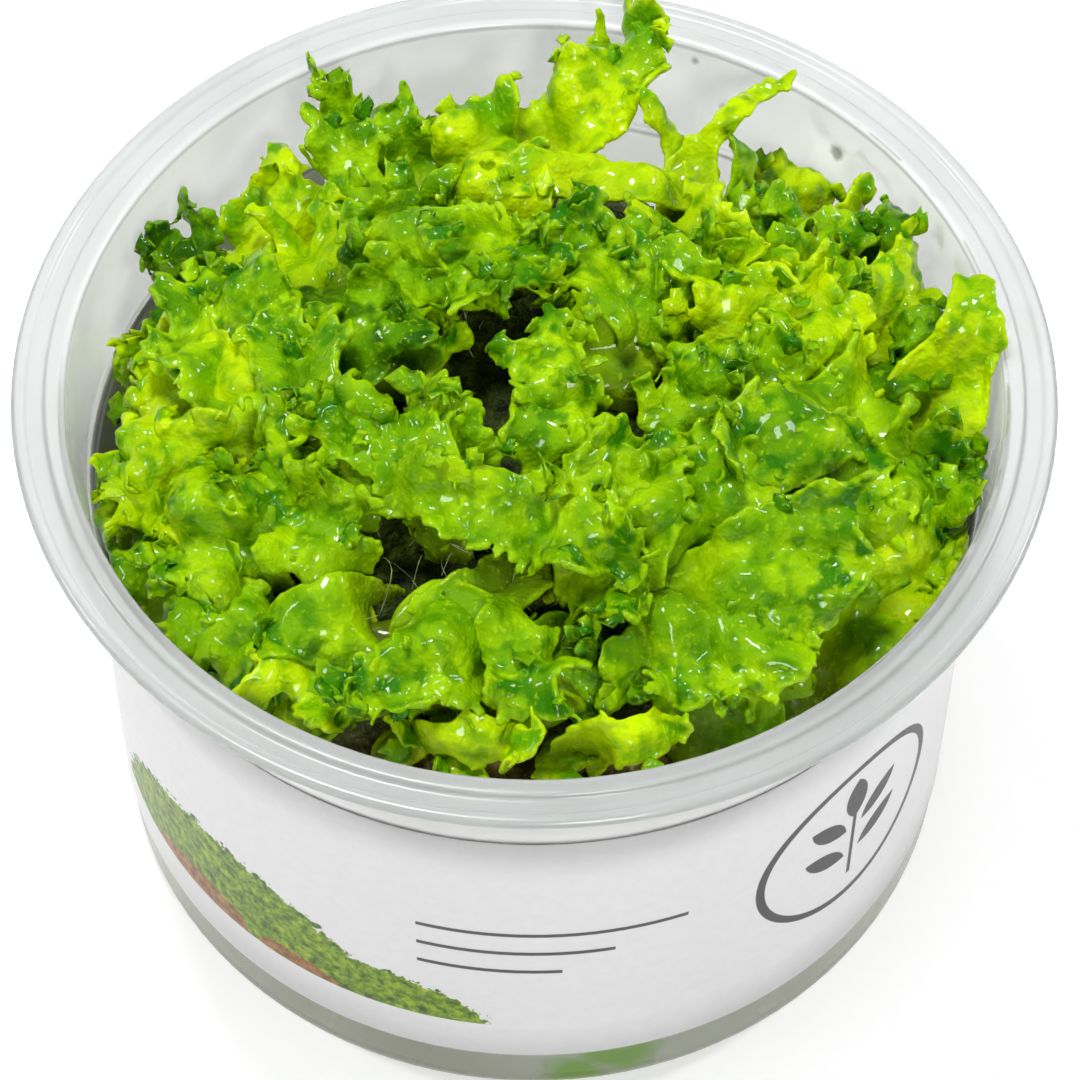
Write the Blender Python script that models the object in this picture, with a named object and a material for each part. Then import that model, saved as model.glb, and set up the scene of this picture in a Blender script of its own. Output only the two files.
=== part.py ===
"""Monosolenium tenerum, a liverwort for aquariums, growing in its culture cup.

Metres, +Z up. The origin is the middle of the cup's base. Sizes below are in millimetres.
"""

import math
import random

import bmesh
import bpy
from mathutils import Vector, noise
from mathutils.bvhtree import BVHTree

MM = 0.001

# Room left between pieces, and between a thallus and the neighbours that it is cut back from
GAP = 0.3
TRIM_GAP = 0.4

# A turned wall's flat facets come nearer to the axis than its radius by up to this much
FACET_ROOM = 0.1
SHARP_ANGLE = 40

# Cup
RIM_RADIUS = 50.0
RIM_HEIGHT = 62.8
MOUTH_RADIUS = 44.8
WALL = 0.8
FLOOR = 0.9
BASE_RADIUS = 41.8
BASE_CORNER = 3.2
FOOT_INNER_RADIUS = 31.0
FOOT_RECESS = 0.7
FOOT_BEVEL = 0.8
LEDGE_HEIGHT = 50.0
LEDGE_RADIUS = 43.3
LEDGE_STEP = 0.8
LEDGE_UNDER = 0.3
LEDGE_OVER = 0.5
FLANGE_THICKNESS = 1.2
FLANGE_ROOT = 0.7
RIM_EDGE = 0.4
RIM_LIP = 0.5
BEAD_RADIUS = 46.7
GROOVE_RADIUS = 48.5
GROOVE_DEPTH = 0.5
GROOVE_SLOPE = 0.3
TURNS = 36

# Wrapped label
LABEL_BOTTOM = 8.2
LABEL_TOP = 49.0
LABEL_THICKNESS = 0.3
LABEL_ANGLE = 300.0
LABEL_STEPS = 30

# Growth gel and the mat of rhizoids and old growth on it
GEL_TOP = 13.5
MAT_CENTRE = Vector((0.0, -4.0))
MAT_RADIUS = 39.6
MAT_EDGE_HEIGHT = 48.0
MAT_CROWN_HEIGHT = 60.5
MAT_RINGS = 5
MAT_TURNS = 20
MAT_LUMP = 3.0
MAT_LUMP_SIZE = 9
MAT_FOOT_SHARE = 0.97

# Thalli. Upper sides face up, a little to the front, and outward by OUTWARD_LEAN at the rim.
THICKNESS = 1.8
FACING = Vector((0.0, -0.35, 0.94))
OUTWARD_LEAN = 0.35
ROW_LENGTH = 3.9
LEAST_ROWS = 4
COLUMNS = 4
CHANNEL = 0.12

# How far a thallus goes back and down from where it rises to its foot in the mat
FOOT_SHARE = 0.35
FOOT_DEPTH = 2.0

# Widths along a thallus, as shares: at the foot, where it is full, and how much the tip narrows
WIDTH_SHARE = 1.25
STEM_WIDTH = 0.4
FULL_WIDTH_AT = 0.7
TIP_NARROWING = 0.35
TIP_POWER = 6

# Teeth and ruffles of the margin, the part of them that the middle has, and the lobes of the tip
TOOTH = 0.22
RUFFLE = 1.1
MIDDLE_TOOTH = 0.3
MIDDLE_RUFFLE = 0.25
LOBE_REACH = (-0.1, 0.22)
LOBE_POWER = 8

# Room between a thallus and the wall: of its middle surface, and of its skin
SHEET_ROOM = GAP + THICKNESS / 2 + 0.4
SKIN_ROOM = GAP + 0.2

# A cut leaves slivers of faces, and those this flat (in degrees) are merged
FLAT_ANGLE = 2

# Each thallus in the order of laying: name, where it comes up, its tip, and its width in millimetres.
# Points are to the right, away from the viewer, and above the rim.
# A later thallus is cut back from those before it.
THALLI = (
    ("tall", (-2, 28, -3), (10, 41, 4), 8.0),
    ("tall_left", (-7, 25, -2), (-7, 32, 2), 7.0),
    ("fork_right", (17, 25, -3), (25, 36, 3), 3.6),
    ("fork_left", (15, 26, -4), (9, 34, 1), 3.6),
    ("back_left", (-13, 16, -1), (-20, 35, 1), 6.5),
    ("spike", (-13, 28, -4), (-13, 36, 0), 5.0),
    ("back_lime", (-24, 22, -6), (-29, 28, -4), 8.5),
    ("curl", (-34, 20, -10), (-37, 23, -4), 5.0),
    ("strap", (14, 25, 0), (-3, 22, 3), 5.0),
    ("shelf", (-14, 11, 2), (1, 10, 8), 8.0),
    ("tooth", (-11, -11, 3), (-18, -5, 6), 9.0),
    ("ragged", (-6, -14, 2), (-1, -5, 7), 8.5),
    ("upright", (5, -12, 1), (5, -5, 8), 9.5),
    ("diagonal", (-13, -15, 3), (11, -24, 4), 9.0),
    ("diagonal_low", (5, -20, -2), (12, -27, 0), 7.0),
    ("broad_right", (33, 1, -4), (23, -15, 3), 10.5),
    ("centre_right", (16, -7, 1), (16, 0, 5), 8.5),
    ("crown_near", (8, 3, 1), (5, 11, 6), 8.5),
    ("crown_far", (15, 7, 0), (12, 14, 5), 7.5),
    ("crown_right", (20, 6, -1), (19, 14, 2), 7.5),
    ("crown_edge", (27, 6, -3), (28, 14, 0), 7.5),
    ("right_mid", (22, -1, -1), (24, 4, 3), 7.5),
    ("back_mid", (22, 19, -4), (24, 27, -2), 8.0),
    ("rear_right", (32, 22, -8), (33, 27, -3), 5.0),
    ("rear_curl", (33, 19, -8), (35, 25, -3), 4.5),
    ("big_right", (37, 1, -7), (43, 11, 2), 8.0),
    ("dark_right", (32, 4, -4), (39, 8, -2), 5.5),
    ("lime_right", (31, 9, -5), (34, 18, -2), 6.5),
    ("left_broad", (-25, -5, -1), (-31, 13, 0), 11.0),
    ("olive", (-17, 7, -2), (-21, 13, 0), 6.5),
    ("left_lime", (-32, 1, -7), (-38, 12, -6), 6.0),
    ("rolled", (-27, -3, -2), (-33, 4, 0), 5.0),
    ("left_frill", (-31, -12, -5), (-39, -4, -4), 8.5),
    ("left_grainy", (-28, -18, -4), (-36, -12, -3), 9.0),
    ("left_wall", (-33, -19, -11), (-40, -11, -9), 6.0),
    ("left_mid", (-20, -15, -2), (-27, -9, 1), 7.5),
    ("fan", (15, -23, -1), (30, -24, -1), 12.0),
    ("fan_low", (15, -23, -3), (19, -33, -4), 9.5),
    ("edge_back", (34, -12, -6), (41, -4, -4), 8.0),
    ("edge_mid", (34, -18, -8), (41, -13, -8), 7.5),
    ("edge_front", (30, -25, -10), (38, -18, -10), 6.0),
    ("front_glossy", (-5, -24, -2), (-14, -33, -2), 10.0),
    ("star", (1, -24, -2), (0, -35, -2), 9.5),
    ("left_smooth", (-17, -22, -3), (-26, -27, -5), 8.5),
    ("left_low", (-19, -26, -7), (-24, -33, -8), 7.0),
    ("front_left", (-10, -35, -9), (0, -39, -4), 6.0),
    ("front_right", (4, -38, -11), (14, -37, -5), 6.0),
    ("dark_centre", (10, -25, -7), (8, -32, -7), 6.0),
    ("left_front", (-29, -20, -8), (-31, -28, -9), 7.5),
    ("right_front", (16, -33, -10), (26, -31, -9), 6.5),
)


def clear_scene():
    for thing in list(bpy.data.objects):
        bpy.data.objects.remove(thing, do_unlink=True)


def material(name, colour, roughness):
    made = bpy.data.materials.new(name)
    made.use_nodes = True
    made.diffuse_color = (*colour, 1.0)
    shader = made.node_tree.nodes["Principled BSDF"]
    shader.inputs["Base Color"].default_value = (*colour, 1.0)
    shader.inputs["Roughness"].default_value = roughness
    shader.inputs["Metallic"].default_value = 0.0
    return made


def add_object(name, bm, finish, smooth=True):
    """Scales a mesh drawn in millimetres to metres and makes it an object."""
    bmesh.ops.scale(bm, vec=(MM, MM, MM), verts=bm.verts)
    mesh = bpy.data.meshes.new(name)
    bm.to_mesh(mesh)
    bm.free()
    if smooth:
        mesh.shade_smooth()
        mesh.set_sharp_from_angle(angle=math.radians(SHARP_ANGLE))
    mesh.materials.append(finish)
    made = bpy.data.objects.new(name, mesh)
    bpy.context.scene.collection.objects.link(made)
    return made


def join_rings(bm, rings, turns):
    """Faces from ring to ring. A ring of one point closes an end."""
    for lower, upper in zip(rings, rings[1:]):
        for step in range(turns):
            after = (step + 1) % turns
            if len(lower) == 1:
                bm.faces.new((lower[0], upper[after], upper[step]))
            elif len(upper) == 1:
                bm.faces.new((lower[step], lower[after], upper[0]))
            else:
                bm.faces.new((lower[step], lower[after], upper[after], upper[step]))


def turned(profile):
    """A closed solid turned round Z from an outline that starts and ends on the axis, underside first."""
    bm = bmesh.new()
    rings = []
    for radius, height in profile:
        if radius == 0:
            rings.append([bm.verts.new((0, 0, height))])
            continue
        ring = []
        for step in range(TURNS):
            angle = math.tau * step / TURNS
            ring.append(bm.verts.new((radius * math.cos(angle), radius * math.sin(angle), height)))
        rings.append(ring)
    join_rings(bm, rings, TURNS)
    return bm


def outer_radius(height):
    """The cup's outer wall under the ledge."""
    share = (height - BASE_CORNER) / (LEDGE_HEIGHT - BASE_CORNER)
    return BASE_RADIUS + (LEDGE_RADIUS - BASE_RADIUS) * share


def inner_radius(height):
    """The cup's inner wall, from its floor to the mouth."""
    if height < LEDGE_HEIGHT:
        return outer_radius(height) - WALL
    share = (height - LEDGE_HEIGHT) / (RIM_HEIGHT - LEDGE_HEIGHT)
    bottom = LEDGE_RADIUS + LEDGE_STEP - WALL
    return bottom + (MOUTH_RADIUS - bottom) * share


def cup_profile():
    """The cup's outline: under the foot, up the outer wall, over the rim and down the inner wall."""
    under_flange = RIM_HEIGHT - FLANGE_THICKNESS
    groove = RIM_HEIGHT - GROOVE_DEPTH
    profile = [(0, FOOT_RECESS), (FOOT_INNER_RADIUS, FOOT_RECESS), (FOOT_INNER_RADIUS + FOOT_BEVEL, 0)]
    for step in range(4):
        angle = math.radians(30 * step)
        radius = BASE_RADIUS - BASE_CORNER * (1 - math.sin(angle))
        profile.append((radius, BASE_CORNER * (1 - math.cos(angle))))
    profile += [
        (LEDGE_RADIUS, LEDGE_HEIGHT - LEDGE_UNDER),
        (LEDGE_RADIUS + LEDGE_STEP, LEDGE_HEIGHT + LEDGE_OVER),
        (MOUTH_RADIUS + FLANGE_ROOT, under_flange - LEDGE_UNDER),
        (RIM_RADIUS - RIM_LIP, under_flange),
        (RIM_RADIUS, under_flange + RIM_EDGE),
        (RIM_RADIUS, RIM_HEIGHT - RIM_EDGE),
        (RIM_RADIUS - RIM_EDGE, RIM_HEIGHT),
        (GROOVE_RADIUS + GROOVE_SLOPE, RIM_HEIGHT),
        (GROOVE_RADIUS, groove),
        (BEAD_RADIUS + GROOVE_SLOPE, groove),
        (BEAD_RADIUS, RIM_HEIGHT),
        (MOUTH_RADIUS + RIM_EDGE, RIM_HEIGHT),
        (MOUTH_RADIUS, RIM_HEIGHT - RIM_EDGE),
        (inner_radius(LEDGE_HEIGHT + LEDGE_OVER), LEDGE_HEIGHT + LEDGE_OVER),
        (LEDGE_RADIUS - WALL, LEDGE_HEIGHT - LEDGE_UNDER),
        (inner_radius(BASE_CORNER), BASE_CORNER),
        (BASE_RADIUS - BASE_CORNER, FOOT_RECESS + FLOOR),
        (0, FOOT_RECESS + FLOOR),
    ]
    return profile


def gel_profile():
    """The gel fills the foot of the cup, clear of its floor and wall."""
    bottom = FOOT_RECESS + FLOOR + GAP
    corner = BASE_CORNER + GAP
    return [
        (0, bottom),
        (BASE_RADIUS - BASE_CORNER - GAP, bottom),
        (inner_radius(corner) - GAP - FACET_ROOM, corner),
        (inner_radius(GEL_TOP) - GAP - FACET_ROOM, GEL_TOP),
        (0, GEL_TOP),
    ]


def add_label(finish):
    """A thin sleeve round the front and sides of the cup, open behind."""
    bm = bmesh.new()
    sections = []
    for step in range(LABEL_STEPS + 1):
        angle = math.radians(270 + LABEL_ANGLE * (step / LABEL_STEPS - 0.5))
        turn = Vector((math.cos(angle), math.sin(angle), 0))
        section = []
        for height in (LABEL_BOTTOM, LABEL_TOP):
            near = outer_radius(height) + GAP
            for radius in (near, near + LABEL_THICKNESS):
                section.append(bm.verts.new(turn * radius + Vector((0, 0, height))))
        sections.append(section)
    sides = ((0, 1), (1, 3), (3, 2), (2, 0))
    for before, after in zip(sections, sections[1:]):
        for first, second in sides:
            bm.faces.new((before[first], after[first], after[second], before[second]))
    for section in (sections[0], sections[-1]):
        bm.faces.new([section[corner] for corner in (0, 1, 3, 2)])
    bmesh.ops.recalc_face_normals(bm, faces=bm.faces)
    add_object("label", bm, finish)


def mat_height(x, y):
    """The top of the mat, a low mound whose crown lies a little to the front."""
    away = (Vector((x, y)) - MAT_CENTRE).length / MAT_RADIUS
    mound = MAT_EDGE_HEIGHT + (MAT_CROWN_HEIGHT - MAT_EDGE_HEIGHT) * (1 - away * away)
    return mound + MAT_LUMP * noise.noise(Vector((x, y, 0)) / MAT_LUMP_SIZE)


def mat_mesh(grow=0.0):
    """The mat as a lumpy plug between the gel and the thalli, or one that stands off it by grow."""
    bottom = GEL_TOP + GAP
    radius = MAT_RADIUS + grow
    bm = bmesh.new()

    def ring(share, height):
        points = []
        for step in range(MAT_TURNS):
            angle = math.tau * step / MAT_TURNS
            x = share * radius * math.cos(angle)
            y = share * radius * math.sin(angle)
            z = mat_height(x, y) + grow if height is None else height
            points.append(bm.verts.new((x, y, z)))
        return points

    rings = [[bm.verts.new((0, 0, bottom - grow))], ring(MAT_FOOT_SHARE, bottom - grow)]
    for step in range(MAT_RINGS, 0, -1):
        rings.append(ring(step / MAT_RINGS, None))
    rings.append([bm.verts.new((0, 0, mat_height(0, 0) + grow))])
    join_rings(bm, rings, MAT_TURNS)
    bmesh.ops.triangulate(bm, faces=bm.faces)
    return bm


def inside_cup(point, clearance):
    """The point itself, or the nearest place clear of the cup's wall and rim."""
    reach = math.hypot(point.x, point.y)
    height = min(point.z, RIM_HEIGHT)
    limit = inner_radius(height) - clearance
    if point.z > RIM_HEIGHT + 1.0 or reach <= limit:
        return point
    return Vector((point.x * limit / reach, point.y * limit / reach, point.z))


def thallus_sheet(number, rise, tip, width):
    """The ribbon's middle surface: rows of a point, the normal there and half of the thickness.

    It comes from the mat under the point where it rises and widens towards its lobed tip.
    """
    chance = random.Random(number)
    rise = Vector(rise) + Vector((0, 0, RIM_HEIGHT))
    tip = Vector(tip) + Vector((0, 0, RIM_HEIGHT))
    foot = rise + FOOT_SHARE * (rise - tip)
    foot.z = min(mat_height(foot.x, foot.y) - FOOT_DEPTH, rise.z - FOOT_DEPTH)
    bend = 2 * rise - (foot + tip) / 2
    length = (rise - foot).length + (tip - rise).length
    rows = max(LEAST_ROWS, round(length / ROW_LENGTH))
    outward = Vector((rise.x, rise.y, 0)) / RIM_RADIUS
    facing = (FACING + OUTWARD_LEAN * outward).normalized()

    sheet = []
    for row in range(rows + 1):
        s = row / rows
        centre = foot * (1 - s) ** 2 + bend * 2 * s * (1 - s) + tip * s * s
        along = ((bend - foot) * (1 - s) + (tip - bend) * s).normalized()
        side = along.cross(facing).normalized()
        normal = side.cross(along)
        widening = STEM_WIDTH + (1 - STEM_WIDTH) * math.sin(min(1.0, s / FULL_WIDTH_AT) * math.pi / 2)
        half = WIDTH_SHARE * width / 2 * widening * (1 - TIP_NARROWING * s ** TIP_POWER)
        points = []
        for column in range(COLUMNS + 1):
            t = 2 * column / COLUMNS - 1
            margin = abs(t) == 1
            tooth = chance.uniform(-TOOTH, TOOTH) + (TOOTH * (-1) ** row if margin else 0)
            ruffle = chance.uniform(-RUFFLE, RUFFLE) * (1 if margin else MIDDLE_RUFFLE)
            lobe = chance.uniform(*LOBE_REACH) * width * s ** LOBE_POWER
            reach = t * half * (1 + (tooth if margin else MIDDLE_TOOTH * tooth))
            lift = CHANNEL * width * t * t + ruffle
            point = centre + side * reach + normal * lift + along * lobe
            point = inside_cup(point, SHEET_ROOM)
            thick = THICKNESS / 2 * (1 - t * t) * min(1.0, (1 - s) * 4)
            points.append((point, normal, thick))
        sheet.append(points)
    return sheet


def thallus_mesh(sheet, grow=0.0):
    """A closed solid round the middle surface, thin at its margins, or one that stands off it by grow."""
    bm = bmesh.new()
    tops, unders = [], []
    rows = len(sheet) - 1
    clearance = SKIN_ROOM - 2 * grow
    for row, points in enumerate(sheet):
        top, under = [], []
        for column, (point, normal, thick) in enumerate(points):
            if grow and column in (0, COLUMNS):
                inner = points[1 if column == 0 else COLUMNS - 1][0]
                point = point + (point - inner).normalized() * 2 * grow
            if grow and row == rows:
                point = point + (point - sheet[row - 1][column][0]).normalized() * 2 * grow
            thick += grow
            if thick == 0:
                vert = bm.verts.new(inside_cup(point, clearance))
                top.append(vert)
                under.append(vert)
            else:
                top.append(bm.verts.new(inside_cup(point + normal * thick, clearance)))
                under.append(bm.verts.new(inside_cup(point - normal * thick, clearance)))
        tops.append(top)
        unders.append(under)
    join_sheets(bm, tops, unders)
    return bm


def join_sheets(bm, tops, unders):
    """Faces for two sheets of points that may share points at their borders."""
    rows, columns = len(tops) - 1, len(tops[0]) - 1

    def face(*corners):
        corners = list(dict.fromkeys(corners))
        if len(corners) > 2:
            bm.faces.new(corners)

    for row in range(rows):
        for column in range(columns):
            a, b = (row, column), (row, column + 1)
            c, d = (row + 1, column + 1), (row + 1, column)
            face(*(tops[i][j] for i, j in (a, b, c, d)))
            face(*(unders[i][j] for i, j in (d, c, b, a)))
        for column in (0, columns):
            face(tops[row][column], tops[row + 1][column], unders[row + 1][column], unders[row][column])
    for row in (0, rows):
        for column in range(columns):
            face(tops[row][column], tops[row][column + 1], unders[row][column + 1], unders[row][column])
    bmesh.ops.recalc_face_normals(bm, faces=bm.faces)
    bmesh.ops.triangulate(bm, faces=bm.faces)
    if bm.calc_volume(signed=True) < 0:
        bmesh.ops.reverse_faces(bm, faces=bm.faces)


def helper(name, bm):
    """A cutter: it isn't part of the plant."""
    cutter = add_object(name, bm, bpy.data.materials[0], smooth=False)
    cutter.hide_render = True
    cutter.display_type = "WIRE"
    return cutter


def keep_largest(bm):
    """Deletes all but the biggest connected body of a mesh of triangles."""
    left = set(bm.verts)
    islands = []
    while left:
        island = {left.pop()}
        edge = list(island)
        while edge:
            vert = edge.pop()
            for link in vert.link_edges:
                other = link.other_vert(vert)
                if other in left:
                    left.remove(other)
                    island.add(other)
                    edge.append(other)
        islands.append(island)
    if len(islands) == 1:
        return

    def volume(island):
        total = 0
        for face in bm.faces:
            if face.verts[0] in island:
                a, b, c = (vert.co for vert in face.verts[:3])
                total += a.dot(b.cross(c))
        return total

    kept = max(islands, key=volume)
    bmesh.ops.delete(bm, geom=[vert for vert in bm.verts if vert not in kept], context="VERTS")


def tree_of(thing):
    """The thing's faces, for a quick test of whether two things meet."""
    bm = bmesh.new()
    bm.from_mesh(thing.data)
    tree = BVHTree.FromBMesh(bm)
    bm.free()
    return tree


def trim(thallus, cutters):
    """Cuts the thallus back where it meets a neighbour laid before it, and leaves the gap between them.

    The solver is MANIFOLD, because EXACT leaves nothing of a ribbon that touches itself.
    """
    for cutter, tree in cutters:
        if not tree.overlap(tree_of(thallus)):
            continue
        cut = thallus.modifiers.new("trim", "BOOLEAN")
        cut.operation = "DIFFERENCE"
        cut.solver = "MANIFOLD"
        cut.object = cutter
        bpy.context.view_layer.update()
        evaluated = thallus.evaluated_get(bpy.context.evaluated_depsgraph_get())
        bm = bmesh.new()
        bm.from_mesh(evaluated.data)
        thallus.modifiers.remove(cut)
        bmesh.ops.triangulate(bm, faces=bm.faces)
        keep_largest(bm)
        bmesh.ops.dissolve_limit(bm, angle_limit=math.radians(FLAT_ANGLE), verts=bm.verts, edges=bm.edges)
        bmesh.ops.triangulate(bm, faces=bm.faces)
        bm.to_mesh(thallus.data)
        bm.free()


def main():
    clear_scene()
    clear_plastic = material("clear plastic", (0.86, 0.88, 0.88), 0.25)
    paper = material("label paper", (0.88, 0.88, 0.88), 0.5)
    gel = material("growth gel", (0.42, 0.45, 0.3), 0.2)
    brown = material("rhizoids", (0.03, 0.04, 0.01), 0.8)
    green = material("thallus green", (0.17, 0.42, 0.01), 0.3)

    add_object("cup", turned(cup_profile()), clear_plastic)
    add_label(paper)
    add_object("growth_gel", turned(gel_profile()), gel)
    add_object("rhizoid_mat", mat_mesh(), brown)

    mat_cutter = helper("mat cutter", mat_mesh(GAP))
    cutters = [(mat_cutter, tree_of(mat_cutter))]
    for number, (name, rise, tip, width) in enumerate(THALLI):
        sheet = thallus_sheet(number, rise, tip, width)
        thallus = add_object("thallus_" + name, thallus_mesh(sheet), green)
        trim(thallus, cutters)
        cutter = helper("cutter " + name, thallus_mesh(sheet, TRIM_GAP))
        cutters += [(cutter, tree_of(cutter)), (thallus, tree_of(thallus))]


main()
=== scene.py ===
import math
import random

import bmesh
import bpy
import numpy as np
from mathutils import Matrix, Vector, noise


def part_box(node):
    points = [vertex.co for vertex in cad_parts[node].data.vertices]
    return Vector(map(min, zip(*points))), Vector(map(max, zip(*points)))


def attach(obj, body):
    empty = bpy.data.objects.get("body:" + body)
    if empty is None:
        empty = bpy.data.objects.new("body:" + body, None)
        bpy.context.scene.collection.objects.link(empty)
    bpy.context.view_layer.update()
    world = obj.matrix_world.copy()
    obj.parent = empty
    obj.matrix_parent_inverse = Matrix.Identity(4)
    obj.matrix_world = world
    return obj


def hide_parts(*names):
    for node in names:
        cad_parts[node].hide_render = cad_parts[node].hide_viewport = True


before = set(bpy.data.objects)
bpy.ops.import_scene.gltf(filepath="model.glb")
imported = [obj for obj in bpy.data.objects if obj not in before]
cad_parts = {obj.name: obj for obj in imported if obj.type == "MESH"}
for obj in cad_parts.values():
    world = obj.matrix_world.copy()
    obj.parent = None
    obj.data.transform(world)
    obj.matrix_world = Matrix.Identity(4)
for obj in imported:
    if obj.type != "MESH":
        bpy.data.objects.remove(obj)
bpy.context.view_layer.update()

MM = 0.001

# The cup's sizes in millimetres, as the frame has them
RIM_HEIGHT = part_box("cup")[1][2] / MM
RIM_RADIUS = 50.0
MOUTH_RADIUS = 44.8
WALL = 0.8
FLOOR = 0.9
BASE_RADIUS = 41.8
BASE_CORNER = 3.2
FOOT_INNER_RADIUS = 31.0
FOOT_RECESS = 0.7
LEDGE_HEIGHT = 50.0
LEDGE_RADIUS = 43.3
LEDGE_STEP = 0.8
MOUTH_ROUND = 0.4
FLANGE_THICKNESS = 1.2
BEAD_RADIUS = 46.7
GROOVE_RADIUS = 48.5
GROOVE_DEPTH = 0.5
CUP_TURNS = 108
CORNER_STEPS = 3

LABEL_BOTTOM = 8.2
LABEL_TOP = 49.0
LABEL_ANGLE = 300.0
LABEL_GAP = 0.12
LABEL_THICKNESS = 0.14
PRINT_SCALE = 200.0

GEL_TOP = 13.5
MAT_CENTRE = Vector((0.0, -4.0))
MAT_RADIUS = 39.6
MAT_EDGE_HEIGHT = 48.0
MAT_CROWN_HEIGHT = 60.5
MAT_LUMP = 3.0
MAT_ROOM = 0.3
MAT_SHOULDER = 0.78
MAT_EDGE_FALL = 2.5

# The dark hollows that threads stand in, each a place and how far they spread, and the threads themselves
HOLLOWS = np.array((
    (-9, 12, 3), (-15, -17, 4), (3, -26, 3.5), (-6, -20, 3), (20, -12, 3), (-28, 6, 3), (8, 18, 3),
))
THREADS = 220
THREAD_SEED = 31
THREAD_RADIUS = 0.09
THREAD_STEPS = 7

# The thalli's form, as the solids have it
FACING = Vector((0.0, -0.35, 0.94))
CHANNEL = 0.12
WIDTH_SHARE = 1.25
THALLUS_SEED = 1000
WAVES = 8

# The sheet's grid, its thickness in the middle and how wide its thin margin is, its least distance from the
# wall, and the height that tall tips bend over under
GRID_STEP = 0.5
SHEET_THICKNESS = 1.5
MARGIN = 2.6
CLEARANCE = 1.1
TALL = 69.0
TALL_ROOM = 3.2

# A curly lobule, as shares of its length: how wide each row is, and how far each point of its tip reaches
LOBULE_HALF = np.array((0.12, 0.3, 0.48, 0.56, 0.5))
LOBULE_TIP = np.array((0.74, 1.03, 0.86, 1.05, 0.72))
LOBULE_THICKNESS = 0.26
LOBULE_SIDE = 5
LOBULE_SHARE = 0.08
LOBULE_CEILING = 73.8
LOBULE_CLEARANCE = 0.9

# Marks on the cup: a broken line near the mouth at the right, and dark specks on the back wall, each a place
# and a radius
MOUTH_LINE_RADIUS = 45.2
MOUTH_LINE_COLOUR = (0.22, 0.2, 0.17)
SPECK_COLOUR = (0.06, 0.07, 0.05)
SPECKS = (
    ((30.0, 32.7, 57.7), 1.0),
    ((27.3, 35.0, 48.8), 0.9),
    ((15.7, 41.5, 60.9), 0.6),
    ((18.8, 40.2, 56.0), 0.6),
)

# Green patches at the foot of the cup, at the front, each a place and a radius
STREAKS = (
    ((4.5, -41.5, 3.0), 4.5),
    ((8.5, -41.0, 7.0), 5.0),
)

# Camera, fitted to the rim, the ledge and the base in the photograph
AIM = Vector((0.6, 0.0, 36.8))
CAMERA_DISTANCE = 571.4
CAMERA_ELEVATION = 54.73
CAMERA_ROLL = 0.33
FOCAL_PIXELS = 5762.5
PHOTO_PIXELS = 1080
SENSOR = 36.0

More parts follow.
